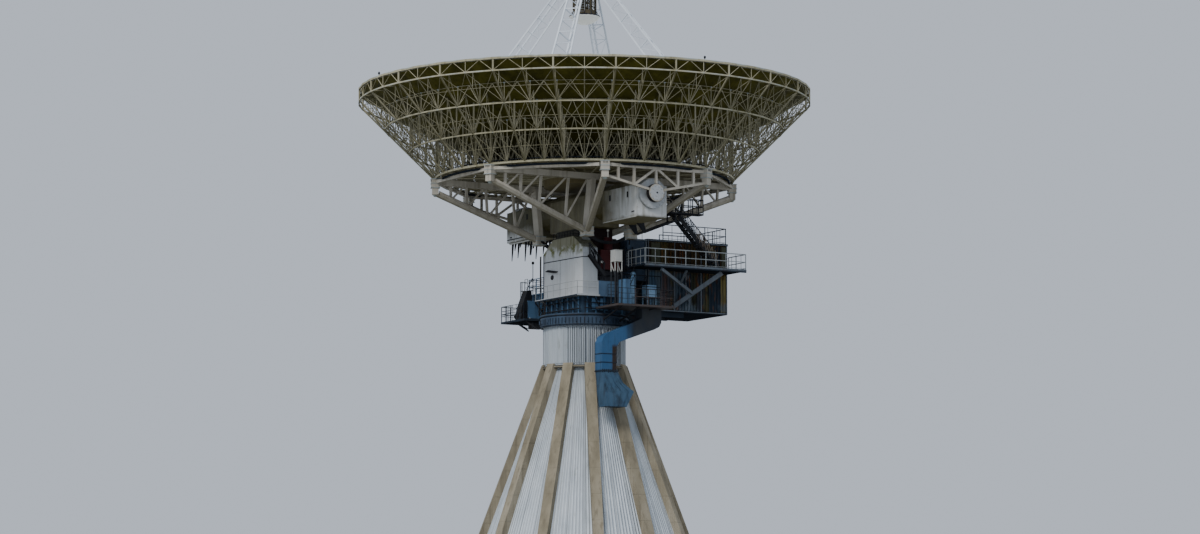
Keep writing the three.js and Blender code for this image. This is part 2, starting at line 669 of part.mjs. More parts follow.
// End frame: the beam across one end, its two corner boxes and the two slanting chords beside it
function endFrame() {
  const [a, b, c, d] = [corner(2), corner(3), corner(4), corner(5)];
  const reach = 180;
  const pieces = [cornerBox(3), cornerBox(4), bar(b, c, CHORD, CHORD)];
  pieces.push(bar(...shortened(a, b, reach, 0), CHORD, CHORD));
  pieces.push(bar(...shortened(c, d, 0, reach), CHORD, CHORD));
  const neighbours = [2, 5].map((index) => grownCornerBox(index));
  return neighbours.reduce((whole, box) => whole.subtract(box), join(pieces));
}

function grownCornerBox(index) {
  const angle = 22.5 + 45 * index;
  const grow = CORNER_HALF + 0.5;
  return block([FRAME_RADIUS - grow, FRAME_RADIUS + grow], [-grow, grow], [AXIS_Z + 390, HUB_RING_Z])
    .rotate([0, 0, angle]);
}

// Block where the girder's post and pipes meet, grown by a little to cut what touches it
function nodeBlock(side, grow) {
  const [x, y, z] = [side * NODE_X, -NODE_Y, AXIS_Z - NODE_DROP];
  const half = 175 + grow;
  return block([x - half, x + half], [y - half, y + half], [z - half, z + 150 + grow]);
}

// Main girder on the front side: box chord on top, pipes below, nodes P and Q beside the crossbeam
function mainGirder() {
  const endX = corner(4)[0];
  const y = corner(4)[1];
  const topZ = AXIS_Z + 850;
  const pieces = [block([endX, -endX], [y - 110, y + 110], [topZ - 110, topZ + 100])];
  for (const side of [-1, 1]) {
    const node = [side * NODE_X, -NODE_Y, AXIS_Z - NODE_DROP];
    const end = [side * -endX, y, CORNER_LOW_Z];
    const front = [side * corner(6)[0], corner(6)[1], CORNER_LOW_Z];
    pieces.push(nodeBlock(side, 0));
    pieces.push(bar(node, [node[0], y, topZ - 20], 170, 360));
    pieces.push(pipe(node, end, PIPE_RADIUS));
    pieces.push(pipe(node, front, PIPE_RADIUS));
    const foot = (t) => node.map((value, i) => value + (end[i] - value) * t);
    const head = (t) => [foot(t)[0], y, topZ];
    const stations = [0.23, 0.5, 0.695, 0.85];
    stations.forEach((t, i) => {
      pieces.push(bar(foot(t), head(t), 80));
      pieces.push(bar(foot(t), head(i === 0 ? 0.03 : stations[i - 1]), 60));
    });
  }
  const cutters = [4, 5, 6, 7].map((index) => grownCornerBox(index));
  cutters.push(bar(corner(4), corner(5), CHORD + 1), bar(corner(6), corner(7), CHORD + 1));
  return cutters.reduce((whole, cutter) => whole.subtract(cutter), join(pieces));
}

// Toothed arc below the crossbeam, from one girder node to the other
function gearSector() {
  const centre = [0, AXIS_Z];
  const start = 180 + THREE.MathUtils.radToDeg(Math.atan2(NODE_DROP, NODE_X));
  const end = 540 - start;
  const outline = [...arcPoints(centre, 1420, start, end, 16), ...arcPoints(centre, 1320, end, start, 16)];
  const arc = slab(outline, 'xz', [-1640, -1520]);
  return arc.subtract(nodeBlock(-1, 0.5)).subtract(nodeBlock(1, 0.5)).subtract(mainGirderEnvelope());
}

// The space of the girder's posts and pipes close to its nodes, slightly grown
function mainGirderEnvelope() {
  const pieces = [];
  for (const side of [-1, 1]) {
    const node = [side * NODE_X, -NODE_Y, AXIS_Z - NODE_DROP];
    const end = [side * -corner(4)[0], corner(4)[1], CORNER_LOW_Z];
    const front = [side * corner(6)[0], corner(6)[1], CORNER_LOW_Z];
    pieces.push(bar(node, [node[0], corner(4)[1], FRAME_Z], 171, 361));
    pieces.push(pipe(node, end, PIPE_RADIUS + 0.5), pipe(node, front, PIPE_RADIUS + 0.5));
  }
  return join(pieces);
}

// Everything above the underside of the reflector surface, used to trim what ends against it
function aboveUnderside() {
  const drop = SHELL_THICKNESS + 0.5;
  const under = SHELL_RADII.map((r) => [r, dishZ(r) - drop]);
  const rim = 7940.5;
  const edge = dishZ(7940) - drop;
  return turned([[0, dishZ(650) - drop], ...under, [rim, edge], [rim, 22000], [0, 22000]], SPOKES);
}

function ringBar(radius, z, width, depth, segments = SPOKES) {
  const [r0, r1] = [radius - width / 2, radius + width / 2];
  const [z0, z1] = [z - depth / 2, z + depth / 2];
  return turned([[r0, z0], [r1, z0], [r1, z1], [r0, z1]], segments);
}

// One quarter of the backup truss: six radial ribs and the rings that cross them
function backupQuarter() {
  const rimZ = dishZ(DISH_RADIUS) - 60;
  const quarter = block([0.2, 9000], [0.2, 9000], [17000, 21500]);
  const rings = [
    ringBar(1480, HUB_RING_Z, 70, 70), ringBar(HUB_RING_RADIUS, HUB_RING_Z, 70, 70),
    ...RINGS.map(([r, z]) => ringBar(r, z, 50, 50)), ringBar(DISH_RADIUS, rimZ, 60, 70),
  ];
  const ribs = [];
  for (let angle = 7.5; angle < 90; angle += 15) {
    const at = (r, z) => polar(r, angle, z);
    ribs.push(bar(at(1480, HUB_RING_Z), at(HUB_RING_RADIUS, HUB_RING_Z), 50));
    ribs.push(bar(at(HUB_RING_RADIUS, HUB_RING_Z), at(DISH_RADIUS, RINGS[2][1]), 50));
    for (const [r, z] of [[HUB_RING_RADIUS, HUB_RING_Z], RINGS[0]]) {
      ribs.push(bar(at(r, z), at(r, dishZ(r)), 44));
    }
    ribs.push(bar(at(DISH_RADIUS, RINGS[2][1]), at(DISH_RADIUS, rimZ), 44));
  }
  return join(join(rings).intersect(quarter), ribs).subtract(aboveUnderside());
}

function surfaceQuarter() {
  const over = SHELL_RADII.map((r) => [r, dishZ(r)]);
  const under = SHELL_RADII.map((r) => [r, dishZ(r) - SHELL_THICKNESS]).reverse();
  const whole = turned([...under, ...over], SPOKES);
  return whole.intersect(block([0.2, 9000], [0.2, 9000], [17000, 21500]));
}

function focusCabin() {
  return turned([[0, 17330], [1440, 17330], [1440, 17780], [0, 17780]], 24);
}

function feedHorn() {
  const foot = 17780 + FIT_GAP;
  return turned([
    [0, foot], [600, foot], [600, 18060], [380, 18160], [300, 18900], [330, 19060], [0, 19060],
  ], 24);
}

// One feed leg: three chords with a triangle of rungs at each bay, wider at the foot
function feedLeg() {
  const foot = [LEG_FOOT_RADIUS, 0, dishZ(LEG_FOOT_RADIUS)];
  const head = [LEG_HEAD_RADIUS, 0, APEX_Z - 140];
  const length = distance(foot, head);
  const along = foot.map((value, i) => (head[i] - value) / length);
  const chords = [[-1, -0.54], [1, -0.54], [0, 1.04]];
  const at = (t, [across, deep]) => {
    const half = 390 - 160 * t;
    const inward = deep * half;
    return [foot[0] + along[0] * length * t - along[2] * inward, across * half,
      foot[2] + along[2] * length * t + along[0] * inward];
  };
  const pieces = chords.map((chord) => bar(at(-0.05, chord), at(1.03, chord), 56));
  for (let i = 0; i < LEG_BAYS; i++) {
    const t = (i + 0.6) / LEG_BAYS;
    chords.forEach((chord, k) => pieces.push(bar(at(t, chord), at(t, chords[(k + 1) % 3]), 34)));
  }
  const over = SHELL_RADII.map((r) => [r, dishZ(r) + 0.5]);
  const surface = turned([[0, 17000], ...over, [9000, 21000], [9000, 17000]], SPOKES);
  const above = block([-2000, 2000], [-2000, 2000], [APEX_Z - 80 - FIT_GAP, APEX_Z + 900]);
  const cage = turned([[0, 23400], [CAGE_RADIUS + 8, 23400], [CAGE_RADIUS + 8, APEX_Z], [0, APEX_Z]], 16);
  return join(pieces).subtract(above).rotate([0, 0, 45]).subtract(surface).subtract(cage);
}

// A shallow bowl-shaped mirror facing down, closed at the back
function subreflector() {
  const depth = 260;
  const radius = (SUBREFLECTOR_RADIUS ** 2 + depth ** 2) / (2 * depth);
  const edge = THREE.MathUtils.radToDeg(Math.asin(SUBREFLECTOR_RADIUS / radius));
  const bulge = arcPoints([0, CAGE_BOTTOM_Z - 50 - depth + radius], radius, -90, edge - 90, 6);
  return turned([...bulge.map(([r, z]) => [Math.max(r, 0), z]), [SUBREFLECTOR_RADIUS, CAGE_BOTTOM_Z - 25],
    [CAGE_RADIUS, CAGE_BOTTOM_Z], [0, CAGE_BOTTOM_Z]], 24);
}

// Lattice cage that carries the subreflector, with the cap that the heads of the four legs end under
function apexCage() {
  const low = CAGE_BOTTOM_Z + FIT_GAP;
  const top = APEX_Z - 80;
  const pieces = [
    ringBar(CAGE_RADIUS - 20, low + 85, 44, 170, 16), ringBar(CAGE_RADIUS - 20, 24450, 44, 110, 16),
    turned([[0, top], [690, top], [690, APEX_Z], [0, APEX_Z]], 16),
  ];
  for (let k = 0; k < 8; k++) {
    const [r, angle] = [CAGE_RADIUS - 20, k * 45];
    pieces.push(bar(polar(r, angle, low + 100), polar(r, angle, top + 20), 34));
  }
  return join(pieces);
}

function reflectorBody() {
  const truss = sideTruss();
  addNode('side_truss_front', truss, 'lattice');
  addNode('side_truss_rear', mirroredY(truss), 'lattice');
  const frame = endFrame();
  addNode('end_frame_left', frame, 'lattice');
  addNode('end_frame_right', frame.rotate([0, 0, 180]), 'lattice');
  const girder = mainGirder();
  addNode('main_girder_front', girder, 'lattice');
  addNode('main_girder_rear', mirroredY(girder), 'lattice');
  const sector = gearSector();
  addNode('gear_sector_front', sector, 'dark');
  addNode('gear_sector_rear', mirroredY(sector), 'dark');
  addNode('focus_cabin', focusCabin(), 'white');
  addNode('feed_horn', feedHorn(), 'white');
  const backup = backupQuarter();
  const surface = surfaceQuarter();
  for (let k = 0; k < 4; k++) {
    addNode(`backup_truss_${k + 1}`, backup, 'lattice').rotation.z = k * PI / 2;
    addNode(`reflector_surface_${k + 1}`, surface, 'surface').rotation.z = k * PI / 2;
  }
  const leg = feedLeg();
  for (let k = 0; k < LEG_COUNT; k++) {
    addNode(`feed_leg_${k + 1}`, leg, 'white').rotation.z = k * PI / 2;
  }
  addNode('subreflector', subreflector(), 'white');
  addNode('apex_cage', apexCage(), 'dark');
}

towerBody();
alidadeBody();
reflectorBody();

export default telescope;
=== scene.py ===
# %% [markdown]
# # A radio telescope dish on a concrete tower
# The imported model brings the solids: the tower, the head that turns on it, and the dish that tips.
# This notebook dresses them. It adds the fine lattice, seams, bolts, rails and pipes that are too
# small to be solids, and gives every surface a weathered finish made of shader nodes. All lengths
# are in metres of the half-size model, so one unit here is two metres on the real telescope.

# %% Load the solids
import math
import bmesh
import bpy
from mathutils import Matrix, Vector


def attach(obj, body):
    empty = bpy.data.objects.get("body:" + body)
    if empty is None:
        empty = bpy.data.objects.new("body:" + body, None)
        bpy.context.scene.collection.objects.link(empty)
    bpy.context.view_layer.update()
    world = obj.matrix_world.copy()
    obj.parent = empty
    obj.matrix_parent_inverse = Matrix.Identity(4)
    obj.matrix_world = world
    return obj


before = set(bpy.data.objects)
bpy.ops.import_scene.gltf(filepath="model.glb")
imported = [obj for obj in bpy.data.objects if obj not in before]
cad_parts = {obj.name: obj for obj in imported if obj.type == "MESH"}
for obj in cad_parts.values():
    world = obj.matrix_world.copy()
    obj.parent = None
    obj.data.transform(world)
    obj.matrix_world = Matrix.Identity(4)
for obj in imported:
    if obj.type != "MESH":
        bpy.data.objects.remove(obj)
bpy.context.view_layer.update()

# %% [markdown]
# ## The camera
# The photograph was taken with a long lens from far away and close to the ground, so the lines of
# the building hardly converge. A camera could be turned by hand until it looks right, but numbers
# are easier to check: stand 121.5 m away, 30 degrees round from the front, at eye height, and pitch
# up by the angle that puts the head where the picture has it. The small yaw moves the tower's axis
# a little to the left of the middle.

# %% Camera
CAMERA_DISTANCE = 121.5
CAMERA_HEIGHT = 0.8
CAMERA_AZIMUTH = -30.0
LENS_MM = 103.8
SENSOR_MM = 36.0
PITCH_DEG = 6.445
YAW_DEG = -0.26


def add_camera():
    data = bpy.data.cameras.new("camera")
    data.lens, data.sensor_width = LENS_MM, SENSOR_MM
    data.clip_start, data.clip_end = 1.0, 1000.0
    camera = bpy.data.objects.new("camera", data)
    bpy.context.scene.collection.objects.link(camera)
    turn = math.radians(CAMERA_AZIMUTH)
    away_x, away_y = CAMERA_DISTANCE * math.sin(turn), -CAMERA_DISTANCE * math.cos(turn)
    camera.location = (away_x, away_y, CAMERA_HEIGHT)
    camera.rotation_euler = (math.radians(90 + PITCH_DEG), 0, turn + math.radians(YAW_DEG))
    bpy.context.scene.camera = camera
    return camera


print("camera at", tuple(round(v, 2) for v in add_camera().location))

# %% [markdown]
# ## Light and floor
# The photograph was taken in soft daylight: light comes from above and all around, with a little
# more from the upper left, and what looks down is dark. A plain pale world gives the first part. A
# sun lamp with a wide disc gives the second, because a wide disc makes soft shadow edges. The floor
# is a wide grey disc, pale but not white, so that it throws little light up into the lattice. It
# belongs to the studio and not to the telescope.

# %% World and sun
WORLD_COLOR = (0.70, 0.77, 0.88, 1)
WORLD_STRENGTH = 0.80
SUN_COLOR = (1.0, 0.97, 0.92)
SUN_STRENGTH = 2.3
SUN_DISC_DEG = 22
SUN_TILT_DEG = 48
SUN_TURN_DEG = -58


def add_light():
    world = bpy.data.worlds.new("studio")
    world.use_nodes = True
    background = world.node_tree.nodes["Background"]
    background.inputs["Color"].default_value = WORLD_COLOR
    background.inputs["Strength"].default_value = WORLD_STRENGTH
    bpy.context.scene.world = world
    lamp = bpy.data.lights.new("wide_sun", "SUN")
    lamp.energy, lamp.color = SUN_STRENGTH, SUN_COLOR
    lamp.angle = math.radians(SUN_DISC_DEG)
    sun = bpy.data.objects.new("wide_sun", lamp)
    bpy.context.scene.collection.objects.link(sun)
    sun.rotation_euler = (math.radians(SUN_TILT_DEG), 0, math.radians(SUN_TURN_DEG))
    return sun


print("sun strength", round(add_light().data.energy, 2))

# %% Floor
FLOOR_RADIUS = 160.0
FLOOR_DROP = 0.002
FLOOR_SIDES = 96


def turns(count):
    """Angles that divide a full turn into equal steps."""
    return [2 * math.pi * k / count for k in range(count)]


def add_floor():
    ring = [(FLOOR_RADIUS * math.cos(t), FLOOR_RADIUS * math.sin(t), -FLOOR_DROP) for t in turns(FLOOR_SIDES)]
    mesh = bpy.data.meshes.new("studio_floor")
    mesh.from_pydata(ring, [], [list(range(FLOOR_SIDES))])
    floor = bpy.data.objects.new("studio_floor", mesh)
    bpy.context.scene.collection.objects.link(floor)
    return floor


floor = add_floor()
print("floor radius", FLOOR_RADIUS)

# %% [markdown]
# ## Small tools for finishes
# A finish is a material whose colour, roughness and relief come from nodes. Writing every node by
# hand is long, so these helpers each add one node, or a few, and give back the output. Noise is
# read in the object's own metres, so a stain has the same size on every piece, and stretching the
# noise along Z turns blotches into the streaks that rain leaves.

# %% Places and noise
NOISE_ROUGHNESS = 0.6


def add_node(mat, kind, **values):
    made = mat.node_tree.nodes.new(kind)
    for name, value in values.items():
        setattr(made, name, value)
    return made


def wire(mat, source, target):
    mat.node_tree.links.new(source, target)


def three_parts(mat, output):
    """The X, Y and Z of one of the outputs of the coordinates node."""
    made = add_node(mat, "ShaderNodeSeparateXYZ")
    wire(mat, add_node(mat, "ShaderNodeTexCoord").outputs[output], made.inputs["Vector"])
    return made.outputs["X"], made.outputs["Y"], made.outputs["Z"]


def position(mat):
    """Where a point is, in metres of its own body."""
    return three_parts(mat, "Object")


def facing(mat):
    """How far the surface looks along X, Y and Z, each from -1 to 1."""
    return three_parts(mat, "Normal")


def noise(mat, scale, detail=4.0, stretch=(1, 1, 1)):
    mapping = add_node(mat, "ShaderNodeMapping")
    mapping.inputs["Scale"].default_value = stretch
    wire(mat, add_node(mat, "ShaderNodeTexCoord").outputs["Object"], mapping.inputs["Vector"])
    texture = add_node(mat, "ShaderNodeTexNoise")
    texture.inputs["Scale"].default_value = scale
    texture.inputs["Detail"].default_value = detail
    texture.inputs["Roughness"].default_value = NOISE_ROUGHNESS
    wire(mat, mapping.outputs["Vector"], texture.inputs["Vector"])
    return texture.outputs["Fac"]


print("helpers for places and noise are ready")


# %% Numbers and masks
def math_node(mat, operation, first, second=0.0):
    made = add_node(mat, "ShaderNodeMath", operation=operation)
    for target, value in zip(made.inputs, (first, second)):
        if isinstance(value, (int, float)):
            target.default_value = value
        else:
            wire(mat, value, target)
    return made.outputs["Value"]


def product(mat, first, *others):
    """All values multiplied, so that of several masks only what they share is left."""
    for other in others:
        first = math_node(mat, "MULTIPLY", first, other)
    return first


def away_from(mat, value, middle):
    """How far a value is from a middle, on either side of it."""
    return math_node(mat, "ABSOLUTE", math_node(mat, "SUBTRACT", value, middle))


def ragged(mat, value, amount, *pattern):
    """A value shifted by noise, so that a mask made from it gets a ragged edge."""
    return math_node(mat, "ADD", value, product(mat, noise(mat, *pattern), amount))


def mask(mat, value, low, high):
    """0 at the low value, 1 at the high one, and in between in between. Low may be the larger."""
    made = add_node(mat, "ShaderNodeMapRange", clamp=True)
    made.inputs["From Min"].default_value = low
    made.inputs["From Max"].default_value = high
    wire(mat, value, made.inputs["Value"])
    return made.outputs["Result"]


print("helpers for numbers and masks are ready")


# %% Colours
def ramp(mat, factor, *stops, steps=False):
    made = add_node(mat, "ShaderNodeValToRGB")
    if steps:
        made.color_ramp.interpolation = "CONSTANT"
    colors = made.color_ramp.elements
    while len(colors) < len(stops):
        colors.new(0.5)
    for element, (position_on_ramp, color) in zip(colors, stops):
        element.position = position_on_ramp
        element.color = (*color, 1)
    wire(mat, factor, made.inputs["Fac"])
    return made.outputs["Color"]


def blend_colors(mat, amount, first, second):
    """The first colour where the amount is 0, and the second where it is 1."""
    made = add_node(mat, "ShaderNodeMix", data_type="RGBA")
    wire(mat, amount, next(s for s in made.inputs if s.name == "Factor"))
    for name, color in (("A", first), ("B", second)):
        target = next(s for s in made.inputs if s.name == name and s.type == "RGBA")
        if isinstance(color, tuple):
            target.default_value = (*color, 1)
        else:
            wire(mat, color, target)
    return next(s for s in made.outputs if s.type == "RGBA")


def tint(mat, color, tone, *amounts):
    """Lays a tone over a colour, as far as all the amounts multiplied say."""
    return blend_colors(mat, product(mat, *amounts), color, tone)


print("helpers for colours are ready")

# %% Relief and whole finishes
finishes = []


def relief(mat, height, strength, depth, under=None):
    made = add_node(mat, "ShaderNodeBump")
    made.inputs["Strength"].default_value = strength
    made.inputs["Distance"].default_value = depth
    wire(mat, height, made.inputs["Height"])
    if under is not None:
        wire(mat, under, made.inputs["Normal"])
    return made.outputs["Normal"]


def finish(name, color_of, roughness=(0.5, 0.8), relief_of=None, shine=0.22):
    """A material whose colour and relief are made by the two functions that are passed in."""
    mat = bpy.data.materials.new(name)
    mat.use_nodes = True
    shader = mat.node_tree.nodes["Principled BSDF"]
    shader.inputs["Specular IOR Level"].default_value = shine
    wire(mat, color_of(mat), shader.inputs["Base Color"])
    rough = add_node(mat, "ShaderNodeMapRange")
    rough.inputs["To Min"].default_value, rough.inputs["To Max"].default_value = roughness
    wire(mat, noise(mat, 9.0, 3.0), rough.inputs["Value"])
    wire(mat, rough.outputs["Result"], shader.inputs["Roughness"])
    if relief_of:
        wire(mat, relief_of(mat), shader.inputs["Normal"])
    finishes.append(name)
    return mat


print("helpers for whole finishes are ready")

# %% [markdown]
# ## Weathered paint
# Nearly everything here is painted steel that has stood outside for decades. One recipe covers it:
# a base colour, a slightly different faded colour in large blotches, rain streaks, and a dark colour
# where a face looks down, which is painted shade with some grime. Every paint below gives these four
# colours in this order. Most paints keep the same low shine. On dark steel it is lower still, since
# the pale world would turn it grey.


# %% The recipe
def fine_grain(mat):
    return relief(mat, noise(mat, 40.0, 4.0), 0.25, 0.01)


def weather(mat, base, faded, streak, shade_and_grime, streaks=0.6, under=0.8):
    blotches = mask(mat, noise(mat, 0.9, 6.0), 0.35, 0.7)
    rain = mask(mat, noise(mat, 1.0, 5.0, (5, 5, 0.45)), 0.5, 0.72)
    spots = mask(mat, noise(mat, 14.0, 6.0), 0.6, 0.75)
    # Faces that look down take the fourth colour: painted shade, with some grime. The amount under sets how
    # much.
    painted_shade_below = mask(mat, facing(mat)[2], 0.1, -0.7)
    color = blend_colors(mat, blotches, base, faded)
    color = tint(mat, color, streak, rain, streaks)
    color = tint(mat, color, streak, spots, 0.45)
    return tint(mat, color, shade_and_grime, painted_shade_below, under)


def weathered(name, *colors, shine=0.22, **amounts):
    return finish(name, lambda mat: weather(mat, *colors, **amounts), (0.45, 0.8), fine_grain, shine)


print("recipe for weathered paint is ready")

# %% Pale paints
WHITE = ((0.60, 0.60, 0.58), (0.49, 0.50, 0.48), (0.20, 0.19, 0.12), (0.10, 0.095, 0.05))
WHITE_PAINT = weathered("white_paint", *WHITE)
DISC_PAINT = weathered("bearing_paint", (0.56, 0.59, 0.62), (0.46, 0.48, 0.50), (0.20, 0.19, 0.15),
                       (0.12, 0.12, 0.10), streaks=0.4)
LATTICE_PAINT = weathered("lattice_paint", (0.49, 0.46, 0.34), (0.33, 0.305, 0.20), (0.10, 0.090, 0.038),
                          (0.068, 0.060, 0.020), shine=0.12)
FRAME_PAINT = weathered("frame_paint", (0.58, 0.545, 0.475), (0.44, 0.405, 0.34), (0.165, 0.14, 0.09),
                        (0.115, 0.100, 0.058))
RIM_PAINT = weathered("rim_paint", (0.46, 0.52, 0.54), (0.37, 0.42, 0.43), (0.18, 0.18, 0.14),
                      (0.14, 0.15, 0.11), streaks=0.5)
LEG_PAINT = weathered("leg_paint", (0.72, 0.77, 0.83), (0.62, 0.68, 0.76), (0.46, 0.50, 0.55),
                      (0.42, 0.47, 0.54), streaks=0.3, under=0.4)
MIRROR_PAINT = weathered("mirror_paint", (0.86, 0.86, 0.82), (0.76, 0.75, 0.69), (0.34, 0.29, 0.18),
                         (0.84, 0.84, 0.80), streaks=0.35)
RAIL_PAINT = weathered("rail_paint", (0.50, 0.53, 0.54), (0.36, 0.39, 0.40), (0.15, 0.12, 0.09),
                       (0.10, 0.10, 0.10))
print("finishes so far", len(finishes))

# %% Blue, red and olive paints
BLUE = ((0.060, 0.130, 0.235), (0.095, 0.195, 0.33), (0.018, 0.026, 0.042), (0.012, 0.018, 0.028))
BLUE_PAINT = weathered("blue_paint", *BLUE, streaks=0.8)
NAVY_PAINT = weathered("navy_paint", (0.030, 0.048, 0.082), (0.058, 0.098, 0.160), (0.018, 0.021, 0.027),
                       (0.008, 0.010, 0.013), streaks=0.7)
PALE_BLUE_PAINT = weathered("pale_blue_paint", (0.19, 0.35, 0.55), (0.31, 0.48, 0.66), (0.060, 0.075, 0.095),
                            (0.030, 0.042, 0.060))
BRACE_PAINT = weathered("brace_paint", (0.17, 0.20, 0.235), (0.115, 0.14, 0.17), (0.06, 0.04, 0.025),
                        (0.03, 0.032, 0.035))
RED_PAINT = weathered("red_paint", (0.052, 0.006, 0.008), (0.075, 0.012, 0.013), (0.016, 0.006, 0.006),
                      (0.012, 0.006, 0.006))
OLIVE_PAINT = weathered("olive_paint", (0.050, 0.055, 0.030), (0.075, 0.078, 0.045), (0.040, 0.024, 0.012),
                        (0.010, 0.011, 0.010))
FLOOR_PAINT = weathered("floor_paint", (0.14, 0.115, 0.056), (0.20, 0.165, 0.080), (0.070, 0.055, 0.022),
                        (0.085, 0.070, 0.030))
print("finishes so far", len(finishes))

# %% Dark and worn steel
SLATE_PAINT = weathered("slate_paint", (0.022, 0.030, 0.043), (0.038, 0.052, 0.070), (0.050, 0.026, 0.014),
                        (0.008, 0.009, 0.011), shine=0.0, streaks=0.5)
DARK_STEEL = weathered("dark_steel", (0.016, 0.018, 0.022), (0.034, 0.036, 0.042), (0.045, 0.028, 0.016),
                       (0.008, 0.008, 0.010), shine=0.05)
RUSTY_STEEL = weathered("rusty_steel", (0.046, 0.046, 0.050), (0.080, 0.068, 0.066), (0.080, 0.046, 0.032),
                        (0.030, 0.026, 0.026), shine=0.05, streaks=0.8)
CAGE_PAINT = weathered("cage_paint", (0.075, 0.062, 0.040), (0.13, 0.112, 0.075), (0.045, 0.028, 0.016),
                       (0.030, 0.026, 0.018), shine=0.05)
GUARD_PAINT = weathered("guard_paint", (0.30, 0.25, 0.20), (0.20, 0.155, 0.115), (0.10, 0.055, 0.030),
                        (0.055, 0.045, 0.035))
print("finishes so far", len(finishes))

# %% [markdown]
# ## Concrete, cladding, dish panels and cabin sheet
# Some surfaces need a pattern of their own. The concrete ribs show the lifts they were poured in.
# The tower's cladding is fluted: the flutes are far too many to model, so a sine of the angle round
# the tower drives the relief, and darkens the trough of each flute as painted shade. The dish is white
# inside, and its back is dull olive, with a seam at every rib. The cabin's sheets have deep upright
# ribs, and each sheet has aged differently, so a random number for each sheet picks its colour from a
# ramp with hard steps.

# %% Concrete
LIFTS_PER_METRE = 1.1


def concrete_color(mat):
    color = ramp(mat, noise(mat, 1.4, 8.0, (1, 1, 0.35)), (0.3, (0.155, 0.135, 0.095)),
                 (0.48, (0.25, 0.22, 0.16)), (0.7, (0.34, 0.305, 0.235)))
    grain = mask(mat, noise(mat, 60.0, 5.0), 0.5, 0.75)
    rain = mask(mat, noise(mat, 1.2, 5.0, (7, 7, 0.2)), 0.52, 0.68)
    color = tint(mat, color, (0.20, 0.165, 0.11), grain, 0.35)
    return tint(mat, color, (0.14, 0.12, 0.085), rain, 0.6)


def concrete_relief(mat):
    lifts = math_node(mat, "FRACT", product(mat, position(mat)[2], LIFTS_PER_METRE))
    pores = relief(mat, noise(mat, 45.0, 6.0), 0.6, 0.012)
    return relief(mat, mask(mat, lifts, 0.0, 0.03), 0.5, 0.02, pores)


CONCRETE = finish("cast_concrete", concrete_color, (0.85, 0.95), concrete_relief)
print("concrete with", LIFTS_PER_METRE, "lifts in a metre")

# %% Fluted cladding
FLUTES = 180
CLADDING_SHEETS = 36


def angle_round_axis(mat):
    x, y, _ = position(mat)
    return math_node(mat, "ARCTAN2", y, x)


def from_middle(mat, count):
    """How far a point is from the middle of its sheet, 0 to 0.5, with so many sheets round the axis."""
    place = math_node(mat, "FRACT", product(mat, angle_round_axis(mat), count / (2 * math.pi)))
    return away_from(mat, place, 0.5)


def flutes(mat):
    return math_node(mat, "SINE", product(mat, angle_round_axis(mat), FLUTES))


def cladding_color(mat):
    color = ramp(mat, noise(mat, 0.8, 5.0, (3, 3, 0.2)), (0.3, (0.50, 0.56, 0.62)),
                 (0.55, (0.65, 0.72, 0.79)), (0.75, (0.73, 0.79, 0.85)))
    # The trough of each flute is darkened: painted shade.
    color = tint(mat, color, (0.20, 0.22, 0.25), mask(mat, flutes(mat), -0.2, -1.0), 0.4)
    edge = mask(mat, from_middle(mat, CLADDING_SHEETS), 0.44, 0.5)
    color = tint(mat, color, (0.12, 0.135, 0.15), edge, 0.6)
    moss = mask(mat, noise(mat, 2.2, 6.0, (2, 2, 0.4)), 0.62, 0.78)
    return tint(mat, color, (0.18, 0.19, 0.11), moss, 0.5)


def cladding_relief(mat):
    return relief(mat, flutes(mat), 0.8, 0.03)


CLADDING = finish("fluted_cladding", cladding_color, (0.5, 0.75), cladding_relief)
print("cladding with", FLUTES, "flutes")


# %% Studio floor
def floor_color(mat):
    return ramp(mat, noise(mat, 0.05, 2.0), (0.4, (0.40, 0.41, 0.40)), (0.6, (0.43, 0.44, 0.43)))


floor.data.materials.append(finish("studio_grey", floor_color, (0.8, 0.9)))
print("floor is", floor.data.materials[0].name)

# %% Dish panels
RIBS = 48


def dish_color(mat):
    seam = mask(mat, from_middle(mat, RIBS), 0.485, 0.5)
    white = ramp(mat, noise(mat, 1.2, 6.0), (0.3, (0.60, 0.61, 0.58)), (0.7, (0.72, 0.73, 0.71)))
    white = tint(mat, white, (0.30, 0.31, 0.30), seam, 0.6)
    back = ramp(mat, noise(mat, 1.6, 7.0, (1, 1, 0.6)), (0.3, (0.024, 0.022, 0.003)),
                (0.5, (0.054, 0.049, 0.005)), (0.7, (0.092, 0.082, 0.010)))
    back = tint(mat, back, (0.012, 0.012, 0.006), seam, 0.6)
    return blend_colors(mat, mask(mat, facing(mat)[2], -0.02, 0.02), back, white)


DISH_PANEL = finish("dish_panel", dish_color, (0.55, 0.8), shine=0.08)
print("dish panels with", RIBS, "seams")

# %% Sheets of the cabin
SHEET_WIDTH = 0.2466
RELIEF_PITCH = 0.123
BALCONY_LOW, BALCONY_HIGH = 14.30, 14.45


def along_walls(mat):
    """A length that grows along the walls, whichever way they run."""
    x, y, _ = position(mat)
    return math_node(mat, "ADD", x, y)


def sheet_colors(mat, shift, *stops):
    """A random colour for each upright sheet. Another shift draws other numbers."""
    count = math_node(mat, "FLOOR", math_node(mat, "DIVIDE", along_walls(mat), SHEET_WIDTH))
    draw = add_node(mat, "ShaderNodeTexWhiteNoise", noise_dimensions="1D")
    wire(mat, math_node(mat, "ADD", count, shift), draw.inputs["W"])
    return ramp(mat, draw.outputs["Value"], *stops, steps=True)


def upper_sheets(mat):
    return sheet_colors(mat, 3.5, (0.0, (0.046, 0.031, 0.012)), (0.3, (0.078, 0.060, 0.019)),
                        (0.5, (0.064, 0.034, 0.017)), (0.7, (0.095, 0.075, 0.029)),
                        (0.88, (0.042, 0.035, 0.024)))


